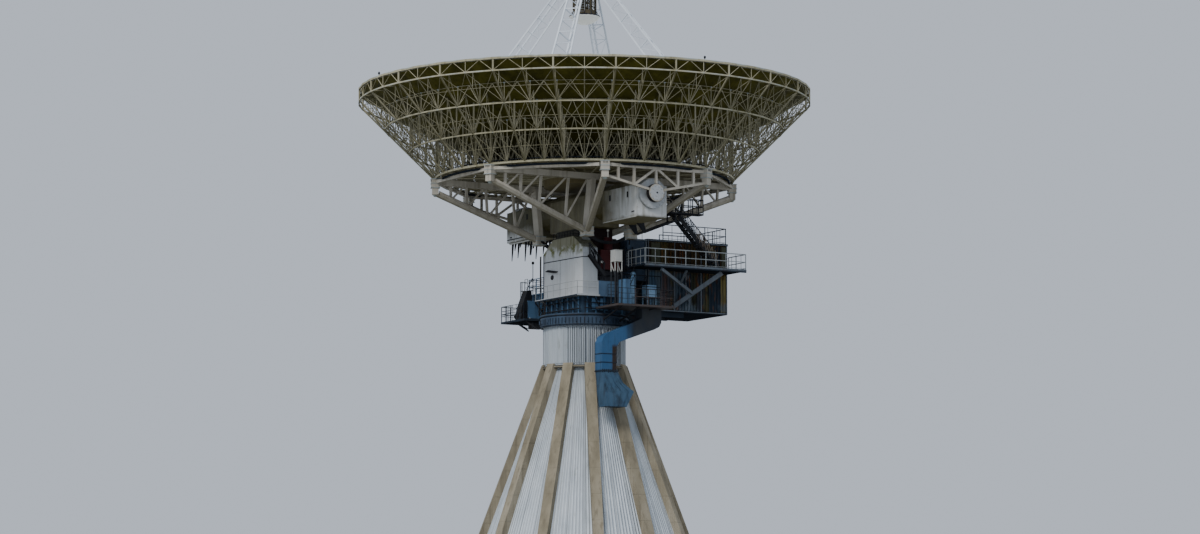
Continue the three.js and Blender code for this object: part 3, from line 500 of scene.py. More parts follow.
def lower_sheets(mat):
    color = sheet_colors(mat, 0.5, (0.0, (0.024, 0.035, 0.050)), (0.22, (0.100, 0.072, 0.025)),
                         (0.40, (0.040, 0.044, 0.030)), (0.56, (0.125, 0.054, 0.017)),
                         (0.70, (0.065, 0.090, 0.120)), (0.86, (0.065, 0.062, 0.027)))
    other = sheet_colors(mat, 7.5, (0.0, (0.028, 0.042, 0.060)), (0.35, (0.185, 0.155, 0.055)),
                         (0.65, (0.160, 0.190, 0.225)), (0.85, (0.024, 0.022, 0.016)))
    patches = mask(mat, noise(mat, 1.8, 5.0, (1.6, 1.6, 0.9)), 0.47, 0.51)
    return tint(mat, color, other, patches, 0.9)


def blue_sheets(mat):
    return sheet_colors(mat, 11.5, (0.0, (0.075, 0.135, 0.205)), (0.35, (0.140, 0.170, 0.200)),
                        (0.6, (0.038, 0.052, 0.072)), (0.8, (0.105, 0.090, 0.105)))


print("cabin sheets", SHEET_WIDTH, "m wide")


# %% Rust, damp and painted shade on the cabin
def cabin_color(mat):
    x, _, height = position(mat)
    above_balcony = mask(mat, height, BALCONY_LOW, BALCONY_HIGH)
    color = blend_colors(mat, above_balcony, lower_sheets(mat), upper_sheets(mat))
    faded = mask(mat, noise(mat, 1.6, 6.0, (2, 2, 0.3)), 0.5, 0.72)
    faded_tone = blend_colors(mat, mask(mat, height, 13.9, 14.4), (0.070, 0.085, 0.095),
                              (0.075, 0.062, 0.036))
    color = tint(mat, color, faded_tone, faded, 0.5)
    rust = mask(mat, noise(mat, 2.2, 6.0, (3, 3, 0.5)), 0.54, 0.66)
    color = tint(mat, color, (0.21, 0.078, 0.018), rust, 0.8)
    soot = mask(mat, noise(mat, 4.0, 5.0, (3, 3, 0.3)), 0.54, 0.66)
    color = tint(mat, color, (0.010, 0.010, 0.011), soot, 0.6)
    under_balcony = mask(mat, height, BALCONY_HIGH, BALCONY_LOW)
    color = tint(mat, color, blue_sheets(mat), mask(mat, x, 2.95, 2.35), under_balcony, 0.75)
    pale = mask(mat, noise(mat, 1.3, 4.0), 0.46, 0.56)
    color = tint(mat, color, (0.095, 0.125, 0.155), mask(mat, height, 13.42, 13.30), pale, 0.75)
    # Faces that look toward the pedestal are nearly black: painted shade on the end wall in the recess.
    shaded_end_wall = mask(mat, facing(mat)[0], -0.4, -0.6)
    return tint(mat, color, (0.018, 0.026, 0.040), shaded_end_wall)


def cabin_relief(mat):
    ribs = math_node(mat, "SINE", product(mat, along_walls(mat), 2 * math.pi / RELIEF_PITCH))
    return relief(mat, mask(mat, ribs, -0.3, 0.3), 0.9, 0.03)


CABIN_SHEET = finish("cabin_sheet", cabin_color, (0.6, 0.85), cabin_relief, shine=0.04)
print("finishes so far", len(finishes))

# %% [markdown]
# ## Paint that changes along a piece
# Six pieces are not one colour all over. The crossbeam is olive in the middle, with algae where the
# dish keeps it wet and painted shade where the dish hangs over it, and clean at its ends. The pedestal
# has moss on its shoulders, and painted shade on its front, in its recess and under the crossbeam.
# The base below it is navy, painted almost black between pale blue ribs as painted shade under the
# deck. The legs of the instrument cabinet are dark. The duct has a dark stripe of rust along one side
# and painted shade on its right side, and its skirt is worn in patches. Painting image maps would do
# it, but the places are simple, so position and direction pick the colour.


# %% Crossbeam paint
def beam_color(mat):
    _, y, z = position(mat)
    # Faces that look down are darkened strongly here: painted shade, with some grime.
    color = weather(mat, (0.68, 0.70, 0.71), (0.57, 0.58, 0.58), (0.17, 0.155, 0.085),
                    (0.060, 0.052, 0.022), under=0.95)
    # Olive in the middle, under the dish: algae where it stays wet, and painted shade from the dish.
    algae_and_shade = ramp(mat, noise(mat, 2.2, 6.0, (1, 1, 0.5)), (0.4, (0.070, 0.058, 0.018)),
                 (0.62, (0.135, 0.115, 0.045)))
    wet_shaded_middle = mask(mat, ragged(mat, away_from(mat, y, 0.0), 1.1, 1.5, 5.0), 4.15, 2.9)
    color = tint(mat, color, algae_and_shade, wet_shaded_middle, 0.88)
    far_top = mask(mat, ragged(mat, z, 0.5, 2.4, 5.0), 16.20, 16.55)
    color = tint(mat, color, (0.060, 0.055, 0.024), mask(mat, y, 2.0, 2.3), far_top, 0.93)
    runs = mask(mat, noise(mat, 1.0, 5.0, (6, 6, 0.5)), 0.44, 0.62)
    color = tint(mat, color, (0.10, 0.092, 0.045), runs, mask(mat, z, 16.0, 16.9), 0.75)
    low_edge = mask(mat, ragged(mat, z, 0.45, 4.0, 6.0), 16.12, 15.98)
    return tint(mat, color, (0.125, 0.108, 0.050), low_edge, 0.7)


BEAM_PAINT = finish("beam_paint", beam_color, (0.5, 0.8), fine_grain)
print("crossbeam paint is", BEAM_PAINT.name)


# %% Pedestal paint
def pedestal_stains(mat, x, z):
    color = weather(mat, (0.68, 0.70, 0.72), (0.58, 0.60, 0.62), (0.30, 0.295, 0.25), (0.07, 0.065, 0.04),
                    streaks=0.3)
    wet_top = mask(mat, ragged(mat, z, 0.9, 3.0, 6.0), 15.38, 15.64)
    color = tint(mat, color, (0.150, 0.140, 0.055), wet_top, 0.8)
    shoulder = mask(mat, away_from(mat, z, 15.05), 0.24, 0.10)
    moss = mask(mat, noise(mat, 3.4, 7.0), 0.50, 0.60)
    color = tint(mat, color, (0.120, 0.130, 0.020), moss, shoulder, mask(mat, x, -0.5, -0.8), 0.9)
    drips = mask(mat, noise(mat, 1.6, 5.0, (7, 7, 0.4)), 0.50, 0.60)
    return tint(mat, color, (0.11, 0.10, 0.045), drips, mask(mat, z, 14.6, 15.3), 0.7)


def pedestal_color(mat):
    x, y, z = position(mat)
    color = pedestal_stains(mat, x, z)
    below_recess = product(mat, mask(mat, y, -1.30, -1.34), mask(mat, x, -0.25, -0.22))
    color = tint(mat, color, weather(mat, *BLUE, streaks=0.9), below_recess, 0.95)
    # Front faces left of the recess are darkened: painted shade, since that side gets less light.
    front = product(mat, mask(mat, facing(mat)[1], -0.5, -0.9), mask(mat, x, -0.22, -0.25))
    color = tint(mat, color, (0.27, 0.31, 0.36), front, mask(mat, z, 13.30, 13.32), 0.5)
    # Nearly black above the roof: painted shade under the crossbeam, with some dirt.
    color = tint(mat, color, (0.016, 0.016, 0.014), mask(mat, z, 15.49, 15.52), 0.9)
    # Inside the recess, dark grey going to dark red at the top: painted shade over dark steel and the red
    # drive.
    recess = product(mat, mask(mat, away_from(mat, y, 0.0), 1.02, 1.0), mask(mat, x, -0.29, -0.27))
    recess_shade = ramp(mat, mask(mat, z, 13.9, 15.5), (0.0, (0.060, 0.062, 0.075)),
                  (0.5, (0.045, 0.040, 0.048)), (0.75, (0.022, 0.010, 0.011)))
    return tint(mat, color, recess_shade, recess, 0.97)


PEDESTAL_PAINT = finish("pedestal_paint", pedestal_color, (0.5, 0.8), fine_grain)
print("pedestal paint is", PEDESTAL_PAINT.name)


# %% Base and cabinet paint
def base_color(mat):
    x, y, _ = position(mat)
    out_x = mask(mat, away_from(mat, x, 0.03), 0.90, 0.92)
    out_y = mask(mat, away_from(mat, y, 0.0), 1.34, 1.36)
    # Between the ribs, navy darkened nearly to black: navy paint and painted shade under the deck.
    shaded_navy_wall = weather(mat, (0.022, 0.042, 0.074), (0.046, 0.082, 0.132), (0.030, 0.022, 0.018),
                   (0.006, 0.007, 0.009))
    rib = weather(mat, *BLUE, streaks=0.7)
    return blend_colors(mat, math_node(mat, "MAXIMUM", out_x, out_y), shaded_navy_wall, rib)


def cabinet_color(mat):
    legs = mask(mat, position(mat)[2], 14.16, 14.10)
    return tint(mat, weather(mat, *WHITE), (0.030, 0.034, 0.040), legs)


BASE_PAINT = finish("base_paint", base_color, (0.5, 0.8), fine_grain, shine=0.12)
CABINET_PAINT = finish("cabinet_paint", cabinet_color, (0.5, 0.8), fine_grain)
print("base and cabinet paint are", BASE_PAINT.name, CABINET_PAINT.name)


# %% Duct and skirt paint
def duct_color(mat):
    x, _, z = position(mat)
    color = weather(mat, (0.030, 0.092, 0.200), (0.052, 0.130, 0.255), (0.016, 0.032, 0.056),
                    (0.010, 0.016, 0.024))
    shaded_side = ramp(mat, noise(mat, 1.5, 6.0, (1, 1, 0.5)), (0.42, (0.024, 0.030, 0.040)),
                       (0.62, (0.042, 0.044, 0.046)))
    color = tint(mat, color, shaded_side, mask(mat, x, 0.30, 0.66), 0.94)
    stripe = mask(mat, ragged(mat, x, 0.12, 7.0, 5.0, (1, 1, 0.4)), -0.16, -0.12)
    upright = product(mat, mask(mat, z, 11.62, 11.5), mask(mat, z, 10.6, 10.7))
    return tint(mat, color, (0.030, 0.020, 0.014), stripe, upright, 0.96)


def skirt_color(mat):
    color = weather(mat, (0.026, 0.064, 0.118), (0.050, 0.100, 0.158), (0.014, 0.024, 0.037),
                    (0.008, 0.013, 0.020), streaks=0.8)
    worn = mask(mat, noise(mat, 2.6, 7.0), 0.52, 0.64)
    return tint(mat, color, (0.020, 0.036, 0.060), worn, 0.7)


DUCT_PAINT = finish("duct_paint", duct_color, (0.45, 0.75), fine_grain, shine=0.12)
SKIRT_PAINT = finish("duct_skirt_paint", skirt_color, (0.45, 0.75), fine_grain)
print("finishes in all", len(finishes))

# %% [markdown]
# ## A finish for every solid
# Each solid keeps its shape and only gets its material. A table from finish to names is easier to
# check than one line for each, and the loop stops if a name is missing or given twice.

# %% Give the solids their finishes
SOLID_FINISHES = {
    CONCRETE: ["tower_ribs", "tower_floor"],
    CLADDING: ["tower_wall", "tower_neck"],
    WHITE_PAINT: ["feed_horn"],
    FLOOR_PAINT: ["focus_cabin"],
    CABINET_PAINT: ["instrument_cabinet"],
    MIRROR_PAINT: ["subreflector"],
    BEAM_PAINT: ["crossbeam"],
    DISC_PAINT: ["bearing_housing_front", "bearing_housing_rear"],
    PEDESTAL_PAINT: ["pedestal", "alidade_deck"],
    BASE_PAINT: ["alidade_base"],
    DUCT_PAINT: ["cable_duct"],
    SKIRT_PAINT: ["duct_skirt"],
    FRAME_PAINT: ["side_truss_front", "side_truss_rear", "end_frame_left", "end_frame_right",
                  "main_girder_front", "main_girder_rear"],
    LATTICE_PAINT: ["backup_truss_1", "backup_truss_2", "backup_truss_3", "backup_truss_4"],
    LEG_PAINT: ["feed_leg_1", "feed_leg_2", "feed_leg_3", "feed_leg_4"],
    RAIL_PAINT: ["balcony_railing"],
    DISH_PANEL: ["reflector_surface_1", "reflector_surface_2", "reflector_surface_3", "reflector_surface_4"],
    BLUE_PAINT: ["service_tank", "drive_box"],
    NAVY_PAINT: ["turntable", "cabin_annex"],
    BRACE_PAINT: ["balcony_braces"],
    SLATE_PAINT: ["tower_door", "cabin_beams", "cabin_floor", "cabin_door", "cabin_roof", "roof_railing",
                  "balcony_floor", "rear_platform"],
    RUSTY_STEEL: ["service_platform"],
    CABIN_SHEET: ["cabin_walls"],
    RED_PAINT: ["elevation_drive_front", "elevation_drive_rear"],
    DARK_STEEL: ["bearing_race", "upper_platform", "access_stair", "pedestal_stair", "azimuth_drive",
                 "gear_sector_front", "gear_sector_rear"],
    CAGE_PAINT: ["apex_cage"],
}


def dress_solids():
    dressed = [name for names in SOLID_FINISHES.values() for name in names]
    assert sorted(dressed) == sorted(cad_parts), set(dressed) ^ set(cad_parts)
    for material, names in SOLID_FINISHES.items():
        for name in names:
            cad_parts[name].data.materials.clear()
            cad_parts[name].data.materials.append(material)
    return len(dressed)


print("solids dressed", dress_solids())

# %% [markdown]
# ## Tools for new pieces
# Most of what is added is thin: tubes, plates, bolts. A single tube is a ring of points at each end,
# and a few hundred tubes in one mesh render far faster than a few hundred objects. So these helpers
# collect points and faces, and `make_piece` turns a collection into one object that rides on a body.

# %% Points and directions
UP = (0, 0, 1)


def up_by(height):
    return Vector((0, 0, height))


def polar(radius, degrees, z):
    """A point at a distance and an angle from the tower's axis."""
    return Vector((radius * math.cos(math.radians(degrees)), radius * math.sin(math.radians(degrees)), z))


def frame_across(direction):
    """Two directions at right angles to a line: one level, one as upright as can be."""
    along = direction.normalized()
    side = Vector(UP).cross(along)
    if side.length < 1e-4:
        side = Vector((0, 1, 0))
    side.normalize()
    return side, along.cross(side)


def circle(centre, side, up, radius, steps):
    return [centre + (side * math.cos(t) + up * math.sin(t)) * radius for t in turns(steps)]


print("a point on the rim, straight to the right:", tuple(polar(8, 0, 20)))


# %% Shapes that grow bit by bit
class Shape:
    """Points and faces of one piece, added bit by bit."""

    def __init__(self):
        self.points, self.faces = [], []

    def rings(self, rings, closed_ends=True):
        """Joins rings of equal length, one after the other."""
        start, size = len(self.points), len(rings[0])
        for ring in rings:
            self.points += [tuple(p) for p in ring]
        for row in range(len(rings) - 1):
            low, high = start + row * size, start + (row + 1) * size
            for k in range(size):
                self.faces.append((low + k, low + (k + 1) % size, high + (k + 1) % size, high + k))
        if closed_ends:
            self.faces.append(tuple(start + k for k in reversed(range(size))))
            last = start + (len(rings) - 1) * size
            self.faces.append(tuple(last + k for k in range(size)))
        return self

    def tube(self, a, b, radius, sides=6, end_radius=None):
        a, b = Vector(a), Vector(b)
        side, up = frame_across(b - a)
        last_radius = radius if end_radius is None else end_radius
        return self.rings([circle(a, side, up, radius, sides), circle(b, side, up, last_radius, sides)])

    def bar(self, a, b, width, depth):
        a, b = Vector(a), Vector(b)
        side, up = frame_across(b - a)
        corners = [(-0.5, -0.5), (0.5, -0.5), (0.5, 0.5), (-0.5, 0.5)]
        return self.rings([[p + side * u * width + up * v * depth for u, v in corners] for p in (a, b)])

    def box(self, low, high):
        (x0, y0, z0), (x1, y1, z1) = low, high
        foot = [(x0, y0, z0), (x1, y0, z0), (x1, y1, z0), (x0, y1, z0)]
        return self.rings([foot, [(x, y, z1) for x, y, _ in foot]])

    def plate(self, outline, thickness):
        """A flat outline made thick along a vector."""
        return self.rings([outline, [Vector(p) + Vector(thickness) for p in outline]])

    def path(self, points, radius, sides=8):
        """A tube through a row of points, without kinks in its rings."""
        points = [Vector(p) for p in points]
        made = []
        for i, p in enumerate(points):
            side, up = frame_across(points[min(i + 1, len(points) - 1)] - points[max(i - 1, 0)])
            made.append(circle(p, side, up, radius, sides))
        return self.rings(made)

    def turned(self, centre, profile, steps):
        """A small round body: rings with the radii and heights of a profile."""
        centre = Vector(centre)
        return self.rings([[centre + Vector((r * math.cos(t), r * math.sin(t), h)) for t in turns(steps)]
                           for r, h in profile])

    def hoop(self, centre, normal, radius, thickness, steps=32, sides=6):
        """A round bar bent into a full circle."""
        centre, normal = Vector(centre), Vector(normal).normalized()
        side, up = frame_across(normal)
        made = []
        for t in [*turns(steps), 0.0]:
            out = side * math.cos(t) + up * math.sin(t)
            made.append([centre + out * (radius + thickness * math.cos(s)) + normal * thickness * math.sin(s)
                         for s in turns(sides)])
        return self.rings(made, closed_ends=False)

    def sleeve(self, centre, normal, inner, outer, length, steps=48):
        """A short pipe with a square section, pushed out along its axis."""
        centre, normal = Vector(centre), Vector(normal).normalized()
        side, up = frame_across(normal)
        corners = [(outer, 0), (outer, length), (inner, length), (inner, 0), (outer, 0)]
        return self.rings([circle(centre + normal * far, side, up, r, steps) for r, far in corners],
                          closed_ends=False)

    def bolts(self, centre, normal, radius, count, size):
        """Hexagon heads in a circle round a centre."""
        centre, normal = Vector(centre), Vector(normal).normalized()
        side, up = frame_across(normal)
        for foot in circle(centre, side, up, radius, count):
            self.tube(foot, foot + normal * size * 0.8, size)
        return self

    def fence(self, corners, low, levels, spacing, radius):
        """Posts and level rails along a row of corners at one height."""
        for a, b in zip(corners, corners[1:]):
            a, b = Vector((*a, low)), Vector((*b, low))
            count = max(1, round((b - a).length / spacing))
            for level in levels:
                self.tube(a + up_by(level), b + up_by(level), radius)
            for k in range(count + 1):
                foot = a.lerp(b, k / count)
                self.tube(foot, foot + up_by(max(levels)), radius)
        return self

    def ladder(self, foot, head, across, step, radius):
        """Two rails with rungs between them."""
        foot, head, half = Vector(foot), Vector(head), Vector(across) / 2
        for side in (-1, 1):
            self.tube(foot + half * side, head + half * side, radius)
        count = int((head - foot).length / step)
        for k in range(count + 1):
            middle = foot.lerp(head, k / count)
            self.tube(middle - half, middle + half, radius * 0.8)
        return self


print("a box has", len(Shape().box((0, 0, 0), (1, 1, 1)).faces), "faces")


# %% From a shape to a piece
def make_piece(name, shape, material, body, smooth_deg=35):
    mesh = bpy.data.meshes.new(name)
    mesh.from_pydata(shape.points, [], shape.faces)
    build = bmesh.new()
    build.from_mesh(mesh)
    bmesh.ops.recalc_face_normals(build, faces=build.faces)
    build.to_mesh(mesh)
    build.free()
    mesh.materials.append(material)
    mesh.shade_smooth()
    mesh.set_sharp_from_angle(angle=math.radians(smooth_deg))
    piece = bpy.data.objects.new(name, mesh)
    bpy.context.scene.collection.objects.link(piece)
    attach(piece, body)
    print(name, len(mesh.polygons), "faces")
    return piece


print("helper for pieces is ready")

# %% [markdown]
# ## The lattice behind the dish
# Behind the panels stand upright hoops, one behind the other, tied together by ribs that run out
# from the middle. In each hoop a post stands at every rib, and two sloping bars rise from the foot
# of each post to the middle of the bays beside it. The solids have the main rings and every second
# rib. The rest is worked out here from the same numbers, so each bar starts on a ring. Modelling one
# bay and copying it round would do as well, but the ribs and hoops share points, and one formula for
# the points keeps them joined.

# %% Hoops of the lattice
RIB_STEP = 360 / RIBS
DISH_FOCUS = 5.60
VERTEX_Z = 17.92
PANEL_THICKNESS = 0.065
HUB_RING_Z = 17.60
RIM_BEAM_Z = 20.69
HOOPS = [(5.28, 17.60), (6.20, 18.525), (7.05, 19.35), (8.00, 20.30)]
INNER_HOOPS = [2.43, 3.38, 4.33]
THIN, MEDIUM = 0.0115, 0.015


def dish_height(radius):
    return VERTEX_Z + radius * radius / (4 * DISH_FOCUS)


def panel_back(radius):
    """Height of the underside of the dish panels."""
    return dish_height(radius) - PANEL_THICKNESS


def hoop_bars(shape, radius, low_z, thickness, rim=False):
    high_z = RIM_BEAM_Z if rim else panel_back(radius) - 0.03
    for k in range(RIBS):
        here, after = k * RIB_STEP, (k + 1) * RIB_STEP
        foot, head = polar(radius, here, low_z), polar(radius, here, high_z)
        middle = (head + polar(radius, after, high_z)) / 2
        shape.tube(foot, head, thickness)
        shape.tube(foot, middle, thickness)
        shape.tube(middle, polar(radius, after, low_z), thickness)
        if not rim:
            shape.tube(head, polar(radius, after, high_z), THIN)


def inner_hoop(shape, radius):
    head_z = panel_back(radius) - 0.02
    for k in range(RIBS):
        here, after = k * RIB_STEP, (k + 1) * RIB_STEP
        for z in (HUB_RING_Z, head_z):
            shape.tube(polar(radius, here, z), polar(radius, after, z), THIN)
        shape.tube(polar(radius, here, HUB_RING_Z), polar(radius, here, head_z), THIN)
        shape.tube(polar(radius, here, HUB_RING_Z), polar(radius, after, head_z), THIN)
        shape.tube(polar(radius, after, HUB_RING_Z), polar(radius, here, head_z), THIN)


hoops = Shape()
for hoop_radius, hoop_z in HOOPS[:-1]:
    hoop_bars(hoops, hoop_radius, hoop_z, MEDIUM)
hoop_bars(hoops, *HOOPS[-1], THIN, rim=True)
for hoop_radius in INNER_HOOPS:
    inner_hoop(hoops, hoop_radius)
make_piece("hoop_bracing", hoops, LATTICE_PAINT, "reflector")

# %% [markdown]
# ## Ribs of the lattice
# Each rib is a flat truss in an upright plane: its lower chord runs level out to the first hoop and
# then straight up to the rim, and zigzag bars tie it to the panels. Only the chords of the ribs in
# between are new, while all forty-eight ribs need their zigzags. Between two ribs, bars from ring to
# ring cross the sloping lower face, which keeps the ribs from leaning over.

# %% Ribs
INNER_RADII = [1.48, *INNER_HOOPS]
OUTER_RADII = [radius for radius, _ in HOOPS]


def chord_height(radius):
    (first_radius, _), (rim_radius, rim_z) = HOOPS[0], HOOPS[-1]
    if radius <= first_radius:
        return HUB_RING_Z
    return HUB_RING_Z + (radius - first_radius) * (rim_z - HUB_RING_Z) / (rim_radius - first_radius)


def rib_bars(shape, angle, with_chords):
    radii = INNER_RADII + OUTER_RADII
    low = [polar(r, angle, chord_height(r)) for r in radii]
    for a, b, inner, outer in zip(low, low[1:], radii, radii[1:]):
        middle = (inner + outer) / 2
        head = polar(middle, angle, panel_back(middle) - 0.01)
        shape.tube(a, head, THIN)
        shape.tube(head, b, THIN)
        if outer > OUTER_RADII[0]:
            shape.tube((a + b) / 2, head, THIN * 0.8)
    if with_chords:
        bend = low[len(INNER_RADII)]
        shape.tube(low[0], bend, MEDIUM)
        shape.tube(bend, low[-1], MEDIUM)


def face_bars(shape, k):
    here, after = k * RIB_STEP, (k + 1) * RIB_STEP
    for (r0, z0), (r1, z1) in zip(HOOPS, HOOPS[1:]):
        shape.tube(polar(r0, here, z0), polar(r1, after, z1), THIN * 0.85)
        shape.tube(polar(r0, after, z0), polar(r1, here, z1), THIN * 0.85)
        middle_r, middle_z = (r0 + r1) / 2, (z0 + z1) / 2
        shape.tube(polar(middle_r, here, middle_z), polar(middle_r, after, middle_z), THIN * 0.7)


ribs = Shape()
for k in range(RIBS):
    rib_bars(ribs, k * RIB_STEP, with_chords=k % 2 == 0)
    face_bars(ribs, k)
make_piece("rib_bracing", ribs, LATTICE_PAINT, "reflector")

# %% [markdown]
# ## Floor of the lattice
# The flat middle of the lattice carries a walkway floor. From below it closes the view through the
# frame, with thin lines of daylight between its boards. Each board is a plate between two ribs.

# %% Walkway floor
BOARD_RADII = [1.55, 2.15, 2.75, 3.35, 3.95, 4.55, 5.12]
BOARD_Z = 17.645
BOARD_THICKNESS = 0.012
BOARD_GAP = 0.035

boards = Shape()
for r0, r1 in zip(BOARD_RADII, BOARD_RADII[1:]):
    for k in range(RIBS):
        a0, a1 = (k + 0.03) * RIB_STEP, (k + 0.97) * RIB_STEP
        corners = ((r0, a0), (r1 - BOARD_GAP, a0), (r1 - BOARD_GAP, a1), (r0, a1))
        boards.plate([polar(r, a, BOARD_Z) for r, a in corners], up_by(BOARD_THICKNESS))
make_piece("walkway_floor", boards, FLOOR_PAINT, "reflector")

# %% [markdown]
# ## Joints of the lattice
# Where bars meet, the real lattice has welded gusset plates. From the ground they show as small
# bright knots along each ring. A thin eight-sided disc on both sides of each joint gives the plate,
# with a hub between them that takes the ends of the bars.

# %% Gusset plates
GUSSET_SIZE = 0.034


def gusset(shape, point, out, size):
    shape.tube(point - out * 0.016, point + out * 0.016, size, 8)
    shape.tube(point - out * 0.026, point + out * 0.026, size * 0.55)


gussets = Shape()
for hoop_radius, hoop_z in HOOPS:
    for k in range(RIBS):
        angle, out = k * RIB_STEP, polar(1, k * RIB_STEP, 0)
        gusset(gussets, polar(hoop_radius, angle, hoop_z), out, GUSSET_SIZE)
        if hoop_radius < OUTER_RADII[-1]:
            gusset(gussets, polar(hoop_radius, angle, panel_back(hoop_radius) - 0.04), out, GUSSET_SIZE * 0.8)
make_piece("lattice_gussets", gussets, RIM_PAINT, "reflector")

# %% [markdown]
# ## The rim
# From below, the rim shows as a bright line along the top of the dish: a tube that catches the
# light, with a second one along the outermost ring. They cover the square bars of the solid, so they
# sit just outside them. Two short poles stand on the rim, each with a small lamp on top, and plates
# close the joints between the panels along the edge.

# %% Rim tubes
RIM_RADIUS = 7.985
RIM_Z = 20.735

rim = Shape()
rim.hoop((0, 0, RIM_Z), UP, RIM_RADIUS, 0.034, 192, 8)
rim.hoop((0, 0, HOOPS[-1][1]), UP, RIM_RADIUS + 0.012, 0.018, 192)
make_piece("rim_tube", rim, RIM_PAINT, "reflector", 60)

# %% Rim plates
PLATE_RADIUS = 7.955
PLATE_LOW, PLATE_HIGH = 20.70, 20.745

rim_plates = Shape()
for k in range(2 * RIBS):
    a, b = (k + 0.04) * RIB_STEP / 2, (k + 0.96) * RIB_STEP / 2
    corners = ((a, PLATE_LOW), (b, PLATE_LOW), (b, PLATE_HIGH), (a, PLATE_HIGH))
    rim_plates.plate([polar(PLATE_RADIUS, angle, z) for angle, z in corners], polar(0.02, (a + b) / 2, 0))
make_piece("rim_plates", rim_plates, DARK_STEEL, "reflector")

# %% Lamps on poles
LAMP_ANGLES = (177.1, 270.5)
LAMP_PROFILE = ((0.4, -1.0), (0.9, -0.5), (1, 0.1), (0.8, 0.6), (0.35, 1.0))
POLE_FOOT, POLE_HEIGHT = 0.40, 0.10

lamps = Shape()
for angle in LAMP_ANGLES:
    edge = polar(7.96, angle, 20.74)
    lamp = edge + up_by(POLE_HEIGHT)
    lamps.tube(edge - up_by(POLE_FOOT), lamp, 0.012)
    lamps.turned(lamp, [(0.040 * wide, 0.05 * high) for wide, high in LAMP_PROFILE], 10)
make_piece("rim_lamps", lamps, DARK_STEEL, "reflector")

# %% [markdown]
# ## Feed legs and the cage above
# Four three-sided lattice legs carry the mirror at the focus. The solids have their chords and six
# sets of rungs. The rungs between them and the thin diagonals are added along the same lines: a
# point on a leg is given by how far up it is, and by how far it lies across and outward. The cage
# above the mirror is crowded with bars, pipes and a ladder, which here cross between its posts.

# %% Feed legs
LEG_FOOT = (4.90, dish_height(4.90))
LEG_HEAD = (0.53, 24.76)
LEG_CHORDS = ((-1, -0.54), (1, -0.54), (0, 1.04))
LEG_BAYS = 12


def on_leg(angle, share, across, deep):
    """A point on a leg: a share of the way up, then across it and outward."""
    run, rise = LEG_HEAD[0] - LEG_FOOT[0], LEG_HEAD[1] - LEG_FOOT[1]
    length = math.hypot(run, rise)
    half = 0.39 - 0.16 * share
    radius = LEG_FOOT[0] + run * share - rise / length * deep * half
    height = LEG_FOOT[1] + rise * share + run / length * deep * half
    return polar(radius, angle, height) + polar(across * half, angle + 90, 0)


def leg_bars(shape, angle):
    for i in range(LEG_BAYS - 1):
        low, high = (i + 0.2) / LEG_BAYS, (i + 1.2) / LEG_BAYS
        for k, chord in enumerate(LEG_CHORDS):
            after = LEG_CHORDS[(k + 1) % 3]
            shape.tube(on_leg(angle, high, *chord), on_leg(angle, high, *after), 0.014)
            if k > 0:
                start, end = (chord, after) if i % 2 else (after, chord)
                shape.tube(on_leg(angle, low, *start), on_leg(angle, high, *end), 0.008)


legs = Shape()
for k in range(4):
    leg_bars(legs, 45 + 90 * k)
make_piece("feed_leg_rungs", legs, LEG_PAINT, "reflector")

# %% Bars of the cage
CAGE_RADIUS = 0.42
CAGE_LEVELS = [23.70, 23.88, 24.07, 24.26, 24.44, 24.62, 24.80]
PIPE_FOOT, PIPE_HEAD = 23.60, 24.81

cage = Shape()
for low, high in zip(CAGE_LEVELS, CAGE_LEVELS[1:]):
    for k in range(8):
        here, after = 45 * k, 45 * (k + 1)
        cage.tube(polar(CAGE_RADIUS, here, low), polar(CAGE_RADIUS, after, high), 0.010)
        cage.tube(polar(CAGE_RADIUS, after, low), polar(CAGE_RADIUS, here, high), 0.010)
        cage.tube(polar(0.27, here + 20, low), polar(0.27, here + 50, high), 0.011)
    cage.hoop((0, 0, high), UP, CAGE_RADIUS, 0.010, 24)
for x, y, radius, sides in ((0, 0, 0.06, 12), (0.2, -0.1, 0.05, 8), (-0.16, -0.18, 0.04, 8)):
    cage.tube((x, y, PIPE_FOOT), (x, y, PIPE_HEAD), radius, sides)
make_piece("cage_bars", cage, CAGE_PAINT, "reflector")

# %% Ladder of the cage
climb = Shape()
climb.ladder((-0.30, -0.33, 23.62), (-0.30, -0.33, 24.80), (0.16, -0.12, 0), 0.09, 0.010)
climb.tube((0.32, -0.24, 23.60), (0.10, -0.36, 24.80), 0.012)
climb.tube((0.12, -0.38, 23.62), (0.30, -0.28, 24.80), 0.012)
make_piece("cage_ladder", climb, RAIL_PAINT, "reflector")

# %% Band round the mirror
BAND_Z, BAND_RADIUS = 23.52, 0.50

band = Shape()
band.hoop((0, 0, 23.50), UP, 0.535, 0.022, 48)
band.bolts((0, 0, BAND_Z), UP, BAND_RADIUS, 16, 0.018)
for t in turns(12):
    out = Vector((math.cos(t), math.sin(t), 0))
    band.tube(out * BAND_RADIUS + up_by(BAND_Z), out * 0.445 + up_by(23.66), 0.012)
make_piece("mirror_band", band, SLATE_PAINT, "reflector")

# %% [markdown]
# ## Base frame of the dish
# The girders under the dish are box sections, and where they meet stand heavy knots with ribs and
# bolt heads. The corners have small boxes with slots and a rounded foot; the slots are dark bars,
# painted shade for their insides. A dark ring beam runs round under the lattice. None of this changes
# the outline, but it gives the big bars their scale.

# %% Corner boxes
CORNERS = 8
CORNER_RADIUS = 5.30
CORNER_HALF, CORNER_RIB_OUT = 0.155, 0.152


